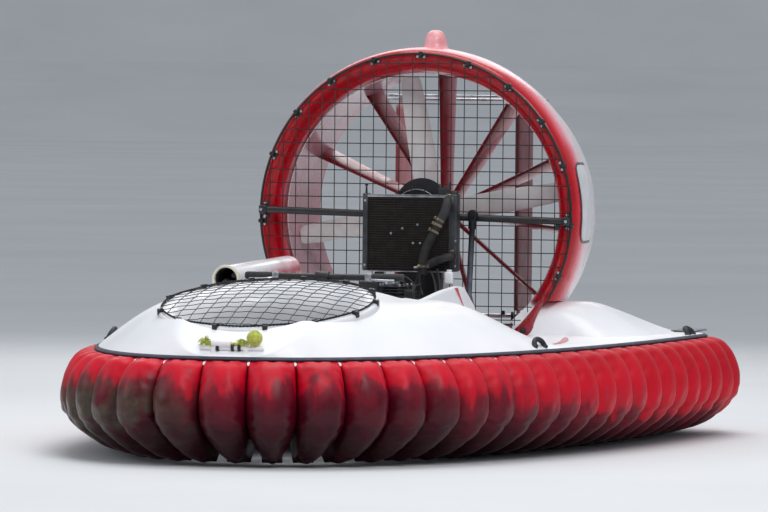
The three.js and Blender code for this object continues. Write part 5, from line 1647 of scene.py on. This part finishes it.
def buildCockpit():
    base = block("seatBase", (-0.110, -0.300, 0.1866), (0.110, 0.286, 0.3998), 0.012, 4)
    place(base, plainWhite, "hull", "white_gelcoat", "seat_base")
    low, along = steering["foot"], steering["along"]
    column = [bar("column", low - 0.045 * along, low + 0.2298 * along, 0.0195, sides=28, bevel=0.001),
              block("bracket", (-0.024, -0.6195, 0.331), (0.024, -0.562, 0.371), 0.004, 3),
              bar("collar", low + 0.205 * along, low + 0.2296 * along, 0.026, sides=28, bevel=0.0025)]
    assemble("steeringColumn", column, black, "black_paint", "steering_column")
    top = low + steering["bar"] * along
    half, sweep = steering["half"], steering["sweep"]
    path = [top + Vector((x, back, 0)) for x, back in (
        (-half, sweep), (-0.205, sweep / 2), (-0.130, 0), (0, 0), (0.130, 0), (0.205, sweep / 2), (half, sweep))]
    bars = [bent("bar", path, steering["tube"], 20),
            bar("stem", low + 0.2304 * along, top, 0.016, sides=28),
            bar("clampCap", top - Vector((0.024, 0, 0)), top + Vector((0.024, 0, 0)), 0.019, sides=28, bevel=0.002)]
    assemble("handlebarTube", bars, black, "black_paint", "handlebar", body="handlebar", angle=40)
    grips, levers = [], []
    for sign in (-1, 1):
        a = top + Vector((sign * half, sweep, 0))
        b = top + Vector((sign * steering["grip"], 0.0066, 0))
        grips.append(bar("grip", b, a, 0.0128, sides=24, bevel=0.001))
        for i in range(12):
            c = b.lerp(a, 0.08 + 0.075 * i)
            grips.append(bar("rib", c, c + (a - b) * 0.03, 0.0136, sides=24))
        levers += [bent("lever", [b + Vector((0, -0.010, -0.004)), b.lerp(a, 0.25) + Vector((0, -0.034, -0.008)),
                                  b.lerp(a, 0.8) + Vector((0, -0.036, -0.010))], 0.0042, 10),
                   block("perch", b - Vector((0.012, 0.02, 0.014)), b + Vector((0.012, 0.012, 0.014)))]
    assemble("handlebarGrips", grips, rubber, "black_rubber", body="handlebar")
    assemble("handlebarLevers", levers, steel, "silver_metal", body="handlebar", angle=40)


# valleys are the stitched lines across the pad
seatPad = {"low": (-0.121, -0.306, 0.4045), "high": (0.121, 0.282, 0.462), "voxel": 0.006, "frames": 20,
           "pressure": 3.5, "cap": 0.006, "half": 0.1245, "floor": 0.4006, "valleys": (-0.11, 0.09),
           "valley": 0.007, "piping": 0.0028, "loop": [
               (0.118, -0.27), (0.118, -0.01), (0.118, 0.25), (0.096, 0.279), (-0.096, 0.279), (-0.118, 0.25),
               (-0.118, -0.01), (-0.118, -0.27), (-0.096, -0.303), (0.096, -0.303)]}


def buildSeatPad():
    pad = block("seatPad", seatPad["low"], seatPad["high"], 0.016, 4)
    applyModifier(pad, "REMESH", mode="VOXEL", voxel_size=seatPad["voxel"])
    held = [v.index for v in pad.data.vertices if v.co.z < 0.4075]
    before = blowUp(pad, held, seatPad["frames"], 40, bending_stiffness=1.0,
                    uniform_pressure_force=seatPad["pressure"])
    for vertex, old in zip(pad.data.vertices, before):
        vertex.co = old + capped(vertex.co - old, seatPad["cap"])
        vertex.co.x = min(seatPad["half"], max(-seatPad["half"], vertex.co.x))
        vertex.co.z = max(seatPad["floor"], vertex.co.z)
    for vertex in pad.data.vertices:
        for y in seatPad["valleys"]:
            if vertex.co.z > 0.43:
                vertex.co.z -= seatPad["valley"] * math.exp(-((vertex.co.y - y) / 0.009) ** 2)
    applyModifier(pad, "SUBSURF", levels=1, render_levels=1)
    place(pad, vinyl, "hull", "black_vinyl", "seat_pad", angle=60)
    beads = [pipe("bead", curvePoints([(x, y, z) for x, y in seatPad["loop"]], 5, closed=True), seatPad["piping"], 8,
                  closed=True) for z in (0.408, 0.458)]
    assemble("seatPiping", beads, plastic, "black_vinyl", angle=60)


def buildRunners():
    section = [(-0.80, 0.1744), (-0.64, 0.008), (-0.625, 0.002), (-0.60, 0.0), (0.74, 0.0), (0.765, 0.002),
               (0.78, 0.008), (0.92, 0.1744)]
    across, half = 0.3, 0.032
    runners = [bevelled(loft("runner", [[Vector((sign * across + side * half, y, z)) for y, z in section]
                                        for side in (-1, 1)]), 0.004, 2, 50) for sign in (1, -1)]
    assemble("landingRunners", runners, plastic, "dark_plastic", "landing_runner_port", "landing_runner_starboard")


buildHandles()
buildMarks()
buildTowFitting()
buildCockpit()
buildSeatPad()
buildRunners()
print("handles, tow fitting, cockpit and runners")


# every CAD node still shown gets its finish
nodeFinishes = {"engine_block": castMetal, "engine_frame": black, "radiator": finBlack}
slotFinishes = {"white_gelcoat": white, "red_gelcoat": footRed, "pink_gelcoat": pink, "red_fabric": skirtCloth,
                "black_paint": black, "trim_rubber": strip, "silver_metal": steel, "engine_metal": castMetal,
                "radiator_metal": finBlack, "black_vinyl": vinyl, "black_rubber": rubber, "yellow_felt": felt,
                "dark_plastic": plastic}
for part in frame["record"]["subparts"]:
    dress(part["node"], nodeFinishes.get(part["node"], slotFinishes[part["material_slot"]]))
